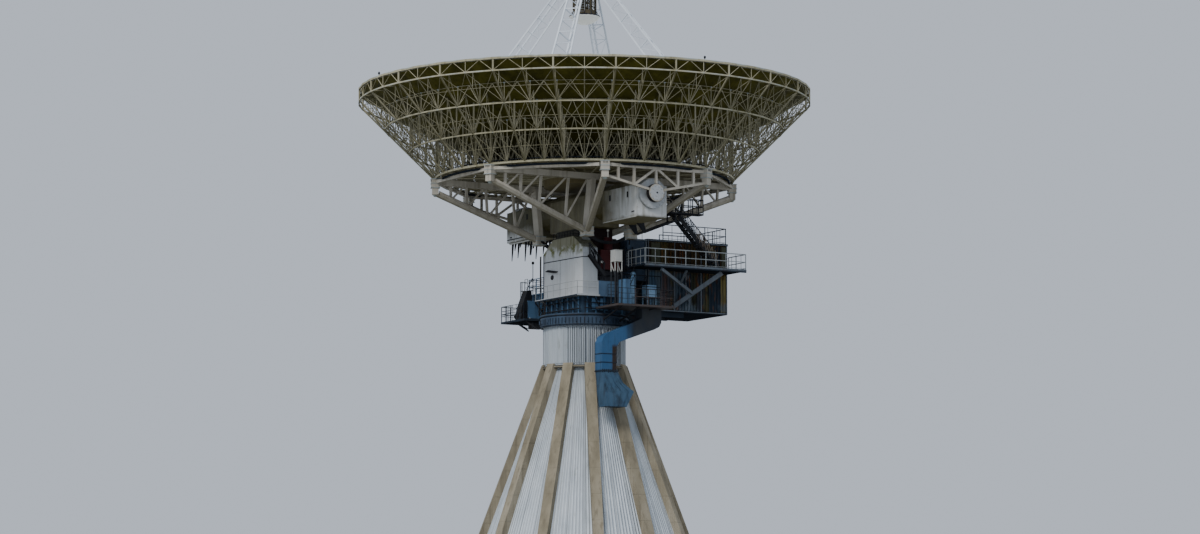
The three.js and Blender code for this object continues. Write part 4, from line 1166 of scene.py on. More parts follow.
def corner_box(shape, dark, angle):
    centre = polar(CORNER_RADIUS, angle, 0)
    out, side = polar(1, angle, 0), polar(1, angle + 90, 0)
    for shift in (-0.075, -0.025, 0.025, 0.075):
        foot = centre + out * 0.147 + side * shift
        # Dark bars for the slots in the box: painted shade.
        dark.bar(foot + up_by(17.47), foot + up_by(17.54), 0.018, 0.012)
    for z in (17.25, 17.40, 17.555):
        for sign in (-1, 1):
            for along, across in ((side, out), (out, side)):
                middle = centre + across * CORNER_RIB_OUT * sign + up_by(z)
                shape.bar(middle - along * CORNER_HALF, middle + along * CORNER_HALF, 0.02, 0.022)
    shape.tube(centre + up_by(16.93), centre + up_by(17.02), 0.05, 12, 0.105)
    shape.bolts(centre + out * 0.146 + up_by(17.335), out, 0.045, 4, 0.012)


corner_ribs, dark_ring = Shape(), Shape()
for k in range(CORNERS):
    corner_box(corner_ribs, dark_ring, 360 / CORNERS * (k + 0.5))
print("corner boxes", CORNERS)

# %% Knots of the trusses
KNOT_X, KNOT_Y = 0.88, 1.7
KNOT_HALF, KNOT_RIB_OUT, KNOT_FACE = 0.185, 0.182, 0.176
KNOT_BOLT_Z = 15.63


def knot_ribs(shape, x, y):
    for z in (15.42, 15.565, 15.71):
        for rib_out in (-KNOT_RIB_OUT, KNOT_RIB_OUT):
            shape.bar((x - KNOT_HALF, y + rib_out, z), (x + KNOT_HALF, y + rib_out, z), 0.016, 0.026)
            shape.bar((x + rib_out, y - KNOT_HALF, z), (x + rib_out, y + KNOT_HALF, z), 0.016, 0.026)
    away = -1 if y < 0 else 1
    shape.bolts((x - KNOT_FACE, y, KNOT_BOLT_Z), (-1, 0, 0), 0.07, 8, 0.012)
    shape.bolts((x, y + KNOT_FACE * away, KNOT_BOLT_Z), (0, away, 0), 0.07, 8, 0.012)


for x in (-KNOT_X, KNOT_X):
    for y in (-KNOT_Y, KNOT_Y):
        knot_ribs(corner_ribs, x, y)
make_piece("corner_box_ribs", corner_ribs, RIM_PAINT, "reflector")

# %% Dark ring beam
RING_BEAM_RADIUS = 5.12

dark_ring.hoop((0, 0, 17.50), UP, RING_BEAM_RADIUS, 0.040, 96, 8)
dark_ring.hoop((0, 0, 17.72), UP, RING_BEAM_RADIUS, 0.016, 96)
make_piece("dark_ring_beam", dark_ring, SLATE_PAINT, "reflector")

# %% [markdown]
# ## Bearing discs
# The dish tips on two hubs. From the front, each shows as a pale disc with a scalloped edge, a ring
# of bolts and a small cap in the middle. A dark sleeve round the hub behind the disc is painted shade.
# Behind it sits the larger bearing housing, bolted to the head of the crossbeam. The scallops are one
# outline pushed out to a plate.

# %% Hub plates
AXIS_Z = 16.6
HUB_FACE_Y = 4.957
HUB_PLATE = 0.016
SCALLOPS = 10


def hub_plate(shape, dark, side):
    face, away = HUB_FACE_Y * side, Vector((0, side, 0))
    front = face + HUB_PLATE * side
    outline = []
    for t in turns(12 * SCALLOPS):
        radius = 0.262 + 0.022 * math.cos(SCALLOPS * t)
        outline.append((radius * math.cos(t), face, AXIS_Z + radius * math.sin(t)))
    shape.plate(outline, away * HUB_PLATE)
    shape.bolts((0, front, AXIS_Z), away, 0.218, SCALLOPS, 0.020)
    shape.hoop((0, face + 0.012 * side, AXIS_Z), away, 0.12, 0.010)
    dark.bolts((0, front, AXIS_Z), away, 0.0, 1, 0.030)
    # A dark sleeve round the hub behind the disc: painted shade at the gap.
    dark.sleeve((0, 4.79 * side, AXIS_Z), away, 0.302, 0.318, 0.155)
    for t in turns(5):
        shape.bar((0.07 * math.cos(t), front, AXIS_Z + 0.07 * math.sin(t)),
                  (0.19 * math.cos(t), front, AXIS_Z + 0.19 * math.sin(t)), 0.012, 0.016)


plates, caps_and_shade_sleeves = Shape(), Shape()
for side in (-1, 1):
    hub_plate(plates, caps_and_shade_sleeves, side)
make_piece("hub_plates", plates, DISC_PAINT, "reflector")
make_piece("hub_caps_and_shade_sleeves", caps_and_shade_sleeves, DARK_STEEL, "reflector")

# %% Bolts of the bearing housings
HOUSING_FACE_Y = 4.70

rings = Shape()
for side in (-1, 1):
    rings.bolts((0, HOUSING_FACE_Y * side, AXIS_Z), (0, side, 0), 0.465, 20, 0.022)
    rings.hoop((0, HOUSING_FACE_Y * side, AXIS_Z), (0, side, 0), 0.505, 0.012, 64)
make_piece("bearing_bolts", rings, DISC_PAINT, "alidade")

# %% [markdown]
# ## Crossbeam
# The crossbeam is a welded box, so it has seams, a few slots for cables with bright lower lips, and
# hanging clamps along its underside at the far end. The slots are dark plates on the face, which are
# painted shade for their insides. The clamps look like icicles from the ground.
# They are short pointed pins of different length, all rigid. The row on the right has one pin less,
# because a girder passes there when the dish is tipped.

# %% Slots of the crossbeam
BEAM_FACE_X = -0.60
SLOT_LIP = 0.02


def slot_in_face(dark, pale, y, z, width, height):
    left, right, low, high = y - width / 2, y + width / 2, z - height / 2, z + height / 2
    # A dark plate flush with the face stands for the inside of the slot: painted shade.
    dark.box((BEAM_FACE_X - 0.006, left, low), (BEAM_FACE_X + 0.004, right, high))
    pale.box((BEAM_FACE_X - SLOT_LIP, left - SLOT_LIP, low - SLOT_LIP),
             (BEAM_FACE_X + 0.004, right + SLOT_LIP, low))


beam_dark_steel_and_slot_shade, beam_pale = Shape(), Shape()
for y in (-2.81, -4.00, 3.10):
    slot_in_face(beam_dark_steel_and_slot_shade, beam_pale, y, 16.61, 0.10, 0.20)
slot_in_face(beam_dark_steel_and_slot_shade, beam_pale, -4.36, 15.98, 0.20, 0.05)
slot_in_face(beam_dark_steel_and_slot_shade, beam_pale, 4.30, 15.98, 0.16, 0.05)
# A dark plate on the end face for an opening: painted shade.
beam_dark_steel_and_slot_shade.box((-0.36, -4.606, 16.50), (-0.24, -4.596, 16.72))
print("slots in the crossbeam", len(beam_dark_steel_and_slot_shade.faces) // 6)

# %% Seams of the crossbeam
SEAM_X, SEAM_LOW, SEAM_HIGH = 0.605, 15.83, 16.87

for x in (-SEAM_X, SEAM_X):
    for side in (-1, 1):
        for z in (SEAM_LOW, SEAM_HIGH):
            beam_pale.bar((x, 2.36 * side, z), (x, 4.56 * side, z), 0.012, 0.03)
for side in (-1, 1):
    beam_pale.bar((-0.58, 4.605 * side, SEAM_LOW), (0.58, 4.605 * side, SEAM_LOW), 0.03, 0.012)
make_piece("crossbeam_seams", beam_pale, BEAM_PAINT, "alidade")

# %% Hanging pins
PIN_TOP_Z = 15.80
LEFT_ROW_X, RIGHT_ROW_X = -0.45, 0.30
PINS = [(4.42, 0.66), (4.20, 0.30), (3.97, 0.59), (3.80, 0.22), (3.44, 0.76), (3.22, 0.28),
        (3.00, 0.58), (2.80, 0.34), (2.63, 0.76)]


def pin_row(shape, x, pins, share):
    for y, drop in pins:
        shape.tube((x, y, PIN_TOP_Z), (x - 0.03, y + 0.02, PIN_TOP_Z - drop * share), 0.050, 6, 0.014)
    shape.bar((x, 2.45, 15.79), (x, 4.55, 15.79), 0.05, 0.03)


pin_row(beam_dark_steel_and_slot_shade, LEFT_ROW_X, PINS, 1.0)
pin_row(beam_dark_steel_and_slot_shade, RIGHT_ROW_X, PINS[:-1], 0.6)
beam_dark_steel_and_slot_shade.tube((-0.62, 2.30, 15.90), (-0.62, 4.55, 15.90), 0.016)
make_piece("crossbeam_pins", beam_dark_steel_and_slot_shade, DARK_STEEL, "alidade")

# %% Strips on the crossbeam
strips = Shape()
strips.bar((-0.52, 2.36, 15.765), (-0.52, 4.54, 15.765), 0.03, 0.05)
strips.tube((-0.66, -2.0, 16.64), (-0.66, -2.0, 16.88), 0.014)
strips.bar((BEAM_FACE_X, -4.58, 15.80), (BEAM_FACE_X, -2.34, 15.80), 0.02, 0.03)
make_piece("crossbeam_strips", strips, WHITE_PAINT, "alidade")

# %% [markdown]
# ## Pedestal
# The pedestal is a white steel house on a deck. Its plates meet in a seam that runs round at two
# thirds of its height, a port with a small canopy looks out to the side, and a conduit slants down
# its front. Thin rails and brackets run round the deck at its foot.

# %% Seams of the pedestal
FRONT_Y, SIDE_X = -1.405, -0.875
DECK_Z = 13.42
SEAM_Z = 14.71

seams = Shape()
seams.tube((SIDE_X, 1.37, SEAM_Z + 0.03), (SIDE_X, -1.40, SEAM_Z), 0.014)
seams.tube((SIDE_X, FRONT_Y, SEAM_Z), (-0.54, FRONT_Y, SEAM_Z + 0.02), 0.014)
seams.tube((SIDE_X + 0.006, 0.20, DECK_Z), (SIDE_X + 0.006, 0.20, SEAM_Z), 0.006)
seams.bar((SIDE_X, 1.37, DECK_Z), (SIDE_X, 1.37, 15.04), 0.012, 0.04)
make_piece("pedestal_seams", seams, SLATE_PAINT, "alidade")

# %% Port and conduits
PORT_Y, PORT_Z = 0.76, 14.17
CANOPY_X = SIDE_X - 0.10
CONDUIT_Y = FRONT_Y - 0.015
ROOF_Z = 15.50
THIN_RAIL = 0.008

port = Shape()
port.plate([(SIDE_X - 0.012, PORT_Y + 0.10 * math.cos(t), PORT_Z + 0.085 * math.sin(t)) for t in turns(20)],
           (0.020, 0, 0))
port.plate([(CANOPY_X, 1.08, 14.41), (CANOPY_X, 0.36, 14.30), (SIDE_X, 0.36, 14.36), (SIDE_X, 1.08, 14.47)],
           up_by(-0.018))
port.path([(-0.54, CONDUIT_Y, 14.96), (-0.28, CONDUIT_Y, 14.46), (-0.02, CONDUIT_Y, 13.94)], 0.026)
port.path([(-0.42, CONDUIT_Y, 15.00), (-0.16, CONDUIT_Y, 14.52)], 0.016)
port.fence([(-0.86, 0.70), (-0.86, -0.70)], ROOF_Z, (0.10, 0.20), 0.20, THIN_RAIL)
port.fence([(-0.86, -0.70), (0.0, -0.70)], ROOF_Z, (0.10, 0.20), 0.20, THIN_RAIL)
port.tube((-0.93, 1.50, 13.88), (-0.93, 1.50, 14.99), 0.028, 8)
port.tube((-0.98, 1.44, 13.40), (-0.98, 1.44, 14.80), 0.016)
make_piece("pedestal_port_and_conduits", port, DARK_STEEL, "alidade")

# %% Rails round the deck
DECK_RAIL_PATH = [(-1.13, 1.50), (-1.13, -1.47), (-0.30, -1.47)]

deck_rails = Shape()
deck_rails.fence(DECK_RAIL_PATH, 13.40, (0.24, 0.45), 0.42, THIN_RAIL)
make_piece("deck_rails", deck_rails, RAIL_PAINT, "alidade")

# %% Brackets under the deck
BRACKET_Z = 13.33

brackets = Shape()
for y in (0.95, 0.45, -0.05, -0.55, -1.05):
    brackets.bar((-1.11, y, BRACKET_Z), (-0.95, y - 0.34, 12.88), 0.026, 0.026)
for x in (-0.80, -0.45):
    brackets.bar((x, -1.47, BRACKET_Z), (x + 0.30, -1.40, 12.90), 0.026, 0.026)
brackets.bar((-1.16, 1.50, 13.35), (-1.16, -1.49, 13.35), 0.014, 0.05)
make_piece("deck_brackets", brackets, SLATE_PAINT, "alidade")

# %% [markdown]
# ## Recess beside the pedestal
# Between the pedestal and the cabin lies a dark recess with the elevation drive: its red housing,
# the motor on top, louvres, pipes and a few lamps. In the shade all of it reads as dark shapes with
# bright edges, so many small plates serve better than a few exact ones.

# %% Louvres and pipes
LOUVRE_Y, LOUVRE_STEP = -1.43, 0.095
PIPES_Y = -1.13

louvres = Shape()
for k in range(9):
    z = 14.30 + k * LOUVRE_STEP
    louvres.bar((0.80, LOUVRE_Y, z), (1.12, LOUVRE_Y, z - 0.02), 0.05, 0.014)
louvres.box((0.78, -1.455, 14.26), (0.80, -1.40, 15.16))
louvres.box((1.12, -1.455, 14.26), (1.14, -1.40, 15.16))
louvres.tube((0.93, -1.46, 14.40), (0.93, -1.36, 14.40), 0.085, 16)
louvres.bar((1.04, -1.375, 15.24), (1.04, -1.375, 15.70), 0.03, 0.03)
for x in (-0.20, -0.05, 0.68, 0.80):
    louvres.tube((x, PIPES_Y, 13.95), (x, PIPES_Y, 15.05), 0.016)
for z in (14.12, 14.62, 15.03):
    louvres.bar((-0.26, PIPES_Y + 0.01, z), (0.86, PIPES_Y + 0.01, z), 0.03, 0.05)
louvres.bar((-0.26, -1.08, 15.20), (0.86, -1.08, 14.15), 0.03, 0.05)
make_piece("recess_louvres", louvres, DARK_STEEL, "alidade")

# %% Ribs and flanges of the drive
MOTOR_X, MOTOR_Y = 0.25, -1.22

drive = Shape()
for z in (14.42, 14.60, 14.78, 14.95):
    drive.bar((-0.13, -1.015, z), (0.63, -1.015, z), 0.02, 0.03)
for z, radius in ((15.02, 0.175), (15.30, 0.170)):
    drive.tube((MOTOR_X, MOTOR_Y, z), (MOTOR_X, MOTOR_Y, z + 0.05), radius, 20)
drive.bolts((MOTOR_X, MOTOR_Y, 15.45), UP, 0.12, 8, 0.014)
make_piece("drive_ribs", drive, RED_PAINT, "alidade")

# %% Work lamps
BULB_PROFILE = ((0.5, -1.1), (1.0, -0.6), (1.0, 0.5), (0.4, 1.0))


def small_lamp(shape, centre, size):
    shape.turned(centre, [(size * wide, size * high) for wide, high in BULB_PROFILE], 10)


work_lamps = Shape()
for x, y, z, foot_z in ((0.26, -1.20, 15.72, 15.45), (0.90, -1.30, 15.66, 15.40), (1.21, -1.30, 15.70, 15.47),
                        (1.60, -1.30, 15.72, 15.47)):
    small_lamp(work_lamps, (x, y, z), 0.042)
    work_lamps.tube((x, y, foot_z), (x, y, z), 0.010)
work_lamps.box((-0.15, -1.42, 14.52), (-0.05, -1.405, 14.60))
work_lamps.box((0.20, -1.145, 15.12), (0.34, -1.125, 15.20))
make_piece("work_lamps", work_lamps, MIRROR_PAINT, "alidade")

# %% [markdown]
# ## Base and turntable
# Under the deck the base has upright ribs, with pipes, a small frame and blue panels in front of
# them. The turning ring below is toothed: its teeth are small bars round the rim of the turntable,
# with a wider plate beside every third one.

# %% Pipes of the base
PIPE_X, PIPE_Y = -0.96, -1.42
FRAME_X, FRAME_NEAR_Y, FRAME_FAR_Y = -1.08, 0.92, 1.34

pipes = Shape()
pipes.tube((PIPE_X, -1.30, 13.20), (PIPE_X, 1.35, 13.20), 0.018)
pipes.tube((PIPE_X, -1.30, 12.90), (PIPE_X, 1.35, 12.94), 0.022)
pipes.tube((-0.80, PIPE_Y, 13.12), (0.90, PIPE_Y, 13.12), 0.018)
pipes.tube((-0.80, PIPE_Y, 12.92), (-0.36, PIPE_Y, 12.92), 0.020)
for y in (FRAME_FAR_Y, FRAME_NEAR_Y):
    pipes.bar((FRAME_X, y, 12.84), (FRAME_X, y, 13.34), 0.035, 0.035)
for z in (12.86, 13.06, 13.26):
    pipes.bar((FRAME_X, FRAME_NEAR_Y, z), (FRAME_X, FRAME_FAR_Y, z), 0.022, 0.022)
pipes.bar((FRAME_X, FRAME_FAR_Y, 12.86), (FRAME_X, FRAME_NEAR_Y, 13.30), 0.020, 0.020)
make_piece("base_pipes", pipes, DARK_STEEL, "alidade")

# %% Panels of the base
PANEL_Y = -1.392

panels = Shape()
for x0, x1, high in ((-0.50, -0.36, 13.28), (-0.32, -0.20, 13.20), (-0.16, -0.04, 13.28), (0.0, 0.16, 13.10)):
    panels.box((x0, PANEL_Y, 12.86), (x1, PANEL_Y + 0.016, high))
panels.box((-0.50, PANEL_Y - 0.018, 12.98), (0.16, PANEL_Y, 13.02))
make_piece("base_panels", panels, BLUE_PAINT, "alidade")

# %% Teeth and plates of the turntable
TURNTABLE_RADIUS = 1.562
TEETH, TURNTABLE_PLATES = 72, 24

ring = Shape()
ring.hoop((0, 0, 12.69), UP, 1.565, 0.030, 72)
ring.hoop((0, 0, 12.36), UP, TURNTABLE_RADIUS, 0.018, 72)
for t in turns(TEETH):
    foot = Vector((math.cos(t), math.sin(t), 0)) * TURNTABLE_RADIUS
    ring.bar(foot + up_by(12.40), foot + up_by(12.60), 0.030, 0.018)
make_piece("turntable_ring", ring, SLATE_PAINT, "alidade")

turntable_plates = Shape()
for k in range(TURNTABLE_PLATES):
    foot = polar(1.574, 360 / TURNTABLE_PLATES * k + 4, 12.46)
    turntable_plates.bar(foot, foot + up_by(0.12), 0.10, 0.012)
make_piece("turntable_plates", turntable_plates, NAVY_PAINT, "alidade")

# %% [markdown]
# ## Drive platforms on the left
# The azimuth drive stands on a small platform with railings beside a blue drive box. In the photo it
# is a tangle: a slanting brace, a caged ladder, pipes, rails on three levels and a lamp on a pole.

# %% Caged ladder
CLIMB_X, CLIMB_Y = -0.46, 3.40
GUARD_X, GUARD_RADIUS = -0.57, 0.115
GUARD_LEVELS = (13.30, 13.62, 13.94, 14.26)

tangle = Shape()
tangle.ladder((CLIMB_X, CLIMB_Y, 12.84), (CLIMB_X, CLIMB_Y, 14.38), (0.0, 0.20, 0), 0.14, 0.010)
for z in GUARD_LEVELS:
    tangle.hoop((GUARD_X, CLIMB_Y, z), UP, GUARD_RADIUS, 0.008, 16, 5)
for angle in (100, 140, 180, 220, 260):
    foot = Vector((GUARD_X, CLIMB_Y, 0)) + polar(GUARD_RADIUS, angle, 0)
    tangle.tube(foot + up_by(GUARD_LEVELS[0]), foot + up_by(GUARD_LEVELS[-1]), 0.007, 5)
print("hoops round the ladder", len(GUARD_LEVELS))

# %% Steel of the left platform
DRIVE_X, DRIVE_Z = -0.93, 12.975
PLATFORM_Z = 12.832

tangle.box((-0.40, 2.25, 12.86), (-0.34, 2.31, 13.45))
tangle.bar((-0.77, 2.18, 13.41), (-0.36, 2.18, 12.96), 0.04, 0.03)
for y in (2.30, 2.52):
    tangle.box((-0.78, y, 12.50), (-0.34, y + 0.16, 12.70))
for y in (2.62, 2.90, 3.14):
    tangle.hoop((DRIVE_X, y, DRIVE_Z), (0, 1, 0), 0.150, 0.016, 24)
tangle.tube((-0.41, 3.00, 13.80), (-0.41, 3.00, 14.91), 0.013)
small_lamp(tangle, (-0.41, 3.00, 14.94), 0.05)
tangle.path([(-0.30, 2.26, 13.80), (-0.42, 2.20, 13.5), (-0.50, 2.20, 12.90)], 0.020)
tangle.tube((-0.84, 2.70, 13.90), (-0.60, 2.70, 14.34), 0.014)
for x, y in ((-1.12, 2.40), (-1.12, 3.10), (-0.55, 3.88)):
    tangle.bar((x, y, 12.80), (x * 0.72, y * 0.86, 12.50), 0.03, 0.04)
for k in range(8):
    y = 2.26 + 0.21 * k
    tangle.box((-1.19, y, 12.745), (-1.15, y + 0.03, PLATFORM_Z))
make_piece("left_platform_steel", tangle, DARK_STEEL, "alidade")

# %% Rails of the left platform
BOX_ROOF_Z = 13.80
LOW_PATH = [(-1.18, 2.30), (-1.18, 3.93), (0.85, 3.93)]
HIGH_PATH = [(-0.37, 2.26), (-0.37, 3.32), (0.58, 3.32)]

rails = Shape()
rails.fence(LOW_PATH, PLATFORM_Z, (0.20, 0.38, 0.55), 0.27, THIN_RAIL)
rails.fence(HIGH_PATH, BOX_ROOF_Z, (0.17, 0.33, 0.49), 0.24, THIN_RAIL)
rails.ladder((0.30, 3.36, 12.84), (0.30, 3.36, BOX_ROOF_Z), (0.2, 0, 0), 0.12, THIN_RAIL)
make_piece("left_platform_rails", rails, SLATE_PAINT, "alidade")

# %% Ribs and side panel of the drive box
BOX_LOW, BOX_HIGH = 12.86, 13.74

box_ribs = Shape()
for x in (-0.20, 0.05, 0.30, 0.55):
    box_ribs.bar((x, 2.225, BOX_LOW), (x, 2.225, BOX_HIGH), 0.03, 0.016)
for y in (2.45, 2.70, 2.95, 3.20):
    box_ribs.bar((-0.355, y, BOX_LOW), (-0.355, y, BOX_HIGH), 0.03, 0.016)
make_piece("drive_box_ribs", box_ribs, BRACE_PAINT, "alidade")

side_panel = Shape()
side_panel.box((-1.05, 2.205, BOX_LOW), (-0.40, 2.222, 13.45))
side_panel.box((-1.07, 2.198, 13.43), (-0.38, 2.228, 13.47))
make_piece("drive_side_panel", side_panel, BLUE_PAINT, "alidade")

# %% [markdown]
# ## Cabin
# The walls of the cabin are deep ribbed sheet. Relief in the finish is not enough at its edges, so
# the front, the back and the right end get real strips, and the corners and the roof edge get flat
# angles. A pipe, a door strip and rivets on the annex give the front its small features.

# %% Ribs of the cabin
CABIN_LEFT, CABIN_RIGHT, CABIN_Y = 1.80, 5.10, 1.35
WALL_LOW, WALL_HIGH = 13.02, 15.40
STRIP_HALF = 0.022
STRIP_PITCH = SHEET_WIDTH / 2

wall_strips = Shape()
x = CABIN_LEFT + 0.06
while x < CABIN_RIGHT - 0.04:
    for near, far in ((-CABIN_Y - STRIP_HALF, -CABIN_Y), (CABIN_Y, CABIN_Y + STRIP_HALF)):
        for low, high in ((WALL_LOW, 14.38), (14.55, WALL_HIGH)):
            wall_strips.box((x - STRIP_HALF, near, low), (x + STRIP_HALF, far, high))
    x += STRIP_PITCH
y = -CABIN_Y + 0.08
while y < CABIN_Y:
    wall_strips.box((CABIN_RIGHT - 0.008, y - STRIP_HALF, WALL_LOW),
                    (CABIN_RIGHT + 0.012, y + STRIP_HALF, WALL_HIGH))
    y += STRIP_PITCH
make_piece("cabin_wall_ribs", wall_strips, CABIN_SHEET, "alidade")

# %% Edges, pipe and rivets
EDGE_Y = -CABIN_Y - 0.012
POST_Y = -CABIN_Y - 0.014
PIPE_AT_Y = -CABIN_Y - 0.045
RIVET_FOOT_Y, RIVET_HEAD_Y = -CABIN_Y - 0.004, -CABIN_Y - 0.022
RIVET_STEP = 0.14
ANNEX_LEFT, ANNEX_RIGHT = 0.96, 1.77

angles = Shape()
for z in (12.99, 15.455):
    angles.bar((CABIN_LEFT, EDGE_Y, z), (CABIN_RIGHT, EDGE_Y, z), 0.05, 0.03)
for x in (1.82, 2.90, 4.00, 5.08):
    angles.bar((x, POST_Y, 13.0), (x, POST_Y, 14.40), 0.035, 0.03)
    angles.bar((x, POST_Y, 14.52), (x, POST_Y, 15.44), 0.035, 0.03)
angles.path([(3.16, PIPE_AT_Y, 14.52), (3.16, PIPE_AT_Y, 15.30), (3.10, PIPE_AT_Y, 15.36)], 0.022)
angles.bar((1.70, -CABIN_Y - 0.02, 14.02), (1.70, -CABIN_Y - 0.02, 15.40), 0.12, 0.03)
for k in range(10):
    z = 14.08 + RIVET_STEP * k
    for x, size in ((1.02, 0.016), (1.60, 0.012)):
        angles.tube((x, RIVET_FOOT_Y, z), (x, RIVET_HEAD_Y, z), size)
angles.bar((ANNEX_LEFT, EDGE_Y, 14.85), (ANNEX_RIGHT, EDGE_Y, 14.85), 0.03, 0.02)
angles.bar((ANNEX_LEFT, EDGE_Y, 15.43), (ANNEX_RIGHT, EDGE_Y, 15.43), 0.05, 0.03)
make_piece("cabin_angles", angles, BRACE_PAINT, "alidade")

# %% Door panels
DOOR_FRONT_Y, DOOR_BACK_Y = -CABIN_Y - 0.030, -CABIN_Y - 0.008
DOOR_LOW, DOOR_HIGH = 14.56, 15.38

doors = Shape()
doors.box((1.93, DOOR_FRONT_Y, DOOR_LOW), (2.30, DOOR_BACK_Y, DOOR_HIGH))
for z in (14.62, 14.98, 15.34):
    doors.bar((1.93, DOOR_FRONT_Y - 0.004, z), (2.30, DOOR_FRONT_Y - 0.004, z), 0.016, 0.02)
doors.box((4.86, DOOR_FRONT_Y, DOOR_LOW), (5.05, DOOR_BACK_Y, DOOR_HIGH))
make_piece("cabin_door_panels", doors, OLIVE_PAINT, "alidade")

# %% [markdown]
# ## Balcony, roof and stairs
# Railings in the photo are closer than the solids have them, so posts are added every thirty to
# forty centimetres, with one more rail near the floor, and a toe board runs along the balcony. The
# stair to the upper platform has guards with crossed bars, and treads that catch the light.
# Toward its foot the guards are bleached and rusty, so that stretch is a piece of its own.

# %% Rails of the balcony
BALCONY_FRONT_Y, BALCONY_BACK_Y = -2.63, -1.40
BALCONY_LEFT, BALCONY_RIGHT = 0.92, 5.08
ADDED_RAILS = (0.05, 0.54)
RAIL = 0.009

front_left, front_right = (BALCONY_LEFT, BALCONY_FRONT_Y), (BALCONY_RIGHT, BALCONY_FRONT_Y)
balcony = Shape()
balcony.fence([front_left, front_right], BALCONY_HIGH, ADDED_RAILS, 0.40, RAIL)
balcony.fence([(BALCONY_LEFT, BALCONY_BACK_Y), front_left], BALCONY_HIGH, ADDED_RAILS, 0.31, RAIL)
balcony.fence([front_right, (BALCONY_RIGHT, BALCONY_BACK_Y)], BALCONY_HIGH, ADDED_RAILS, 0.31, RAIL)
make_piece("balcony_rails", balcony, RAIL_PAINT, "alidade")

# %% Guards of the stair
STAIR_HEAD = (2.29, 16.215)
STAIR_FOOT = (3.95, 14.52)
STAIR_NEAR_Y, STAIR_FAR_Y = -2.60, -2.25
GUARD_BAYS, FIRST_WORN_BAY = 13, 6
GUARD_HEIGHT = 0.42

guards, worn_guards = Shape(), Shape()
for y in (STAIR_NEAR_Y, STAIR_FAR_Y):
    head, foot = Vector((STAIR_HEAD[0], y, STAIR_HEAD[1])), Vector((STAIR_FOOT[0], y, STAIR_FOOT[1]))
    for k in range(GUARD_BAYS):
        low_a, low_b = head.lerp(foot, k / GUARD_BAYS), head.lerp(foot, (k + 1) / GUARD_BAYS)
        high_a, high_b = low_a + up_by(GUARD_HEIGHT), low_b + up_by(GUARD_HEIGHT)
        guard = worn_guards if k >= FIRST_WORN_BAY else guards
        guard.tube(low_a, high_a, 0.007)
        if y == STAIR_NEAR_Y or k > FIRST_WORN_BAY:
            guard.tube(low_a, high_b, 0.008)
            guard.tube(high_a, low_b, 0.008)
    guards.tube(head + up_by(GUARD_HEIGHT / 2), foot + up_by(GUARD_HEIGHT / 2), 0.008)
print("worn bays of the guards", 2 * (GUARD_BAYS - FIRST_WORN_BAY))

# %% Guards of the roof and the upper platform
CABIN_ROOF_Z = 15.50
ROOF_PATH = [(2.45, -1.32), (5.07, -1.32), (5.07, 1.32), (3.90, 1.32)]
UPPER_Z, UPPER_LEVELS = 16.275, (0.05, 0.26, 0.48)

guards.fence(ROOF_PATH, CABIN_ROOF_Z, ADDED_RAILS, 0.40, THIN_RAIL)
guards.fence([(1.76, -2.27), (1.76, -2.99), (2.23, -2.99)], UPPER_Z, UPPER_LEVELS, 0.20, RAIL)
guards.fence([(2.30, -2.99), (3.09, -2.99), (3.09, -2.68)], UPPER_Z, UPPER_LEVELS, 0.26, RAIL)
make_piece("roof_and_stair_guards", guards, SLATE_PAINT, "alidade")
make_piece("stair_foot_guards", worn_guards, GUARD_PAINT, "alidade")

# %% Treads and balcony beams
TREADS = 15
TREAD_HALF, TREAD_HALF_THICKNESS = 0.05, 0.008

treads = Shape()
for k in range(TREADS):
    share = (k + 0.5) / TREADS
    x = STAIR_HEAD[0] + (STAIR_FOOT[0] - STAIR_HEAD[0]) * share
    z = STAIR_HEAD[1] + (STAIR_FOOT[1] - STAIR_HEAD[1]) * share
    treads.box((x - TREAD_HALF, -2.58, z - TREAD_HALF_THICKNESS),
               (x + TREAD_HALF, -2.26, z + TREAD_HALF_THICKNESS))
for k in range(11):
    x = 0.98 + 0.41 * k
    treads.bar((x, -2.62, 14.425), (x, -1.37, 14.425), 0.030, 0.045)
make_piece("stair_treads", treads, BRACE_PAINT, "alidade")

# %% Toe board of the balcony
TOE_BOARD_Z = 14.43

toe_board = Shape()
toe_board.bar((BALCONY_LEFT, -2.645, TOE_BOARD_Z), (BALCONY_RIGHT, -2.645, TOE_BOARD_Z), 0.016, 0.07)
toe_board.bar((5.092, BALCONY_FRONT_Y, TOE_BOARD_Z), (5.092, BALCONY_BACK_Y, TOE_BOARD_Z), 0.016, 0.07)
make_piece("balcony_toe_board", toe_board, BRACE_PAINT, "alidade")

# %% [markdown]
# ## Service platform
# In front of the recess hangs the service platform, with ladders, a steep stair, pale boxes on legs
# and a light blue column. Its railing runs along the front and the side of the cabin. The left edge
# is open, because a girder of the dish passes there when the dish is tipped.

# %% Ladders and stair
STEEP_FOOT_X, STEEP_HEAD_X = 0.14, 0.63

steel = Shape()
steel.ladder((0.055, -2.00, 13.00), (0.055, -2.00, 13.72), (0.53, 0, 0), 0.12, 0.010)
steel.ladder((STEEP_FOOT_X, -2.30, 13.06), (STEEP_HEAD_X, -2.30, 14.06), (0, 0.24, 0), 0.12, 0.012)
steel.ladder((STEEP_FOOT_X, -2.42, 13.36), (STEEP_HEAD_X, -2.42, 14.36), (0, 0, 0.001), 0.5, 0.008)
print("faces of the ladder, the stair and its handrail", len(steel.faces))

# %% Railing, grating and brackets
SERVICE_Z = 12.97
SERVICE_PATH = [(-0.33, -2.93), (1.90, -2.93), (1.90, -1.62)]

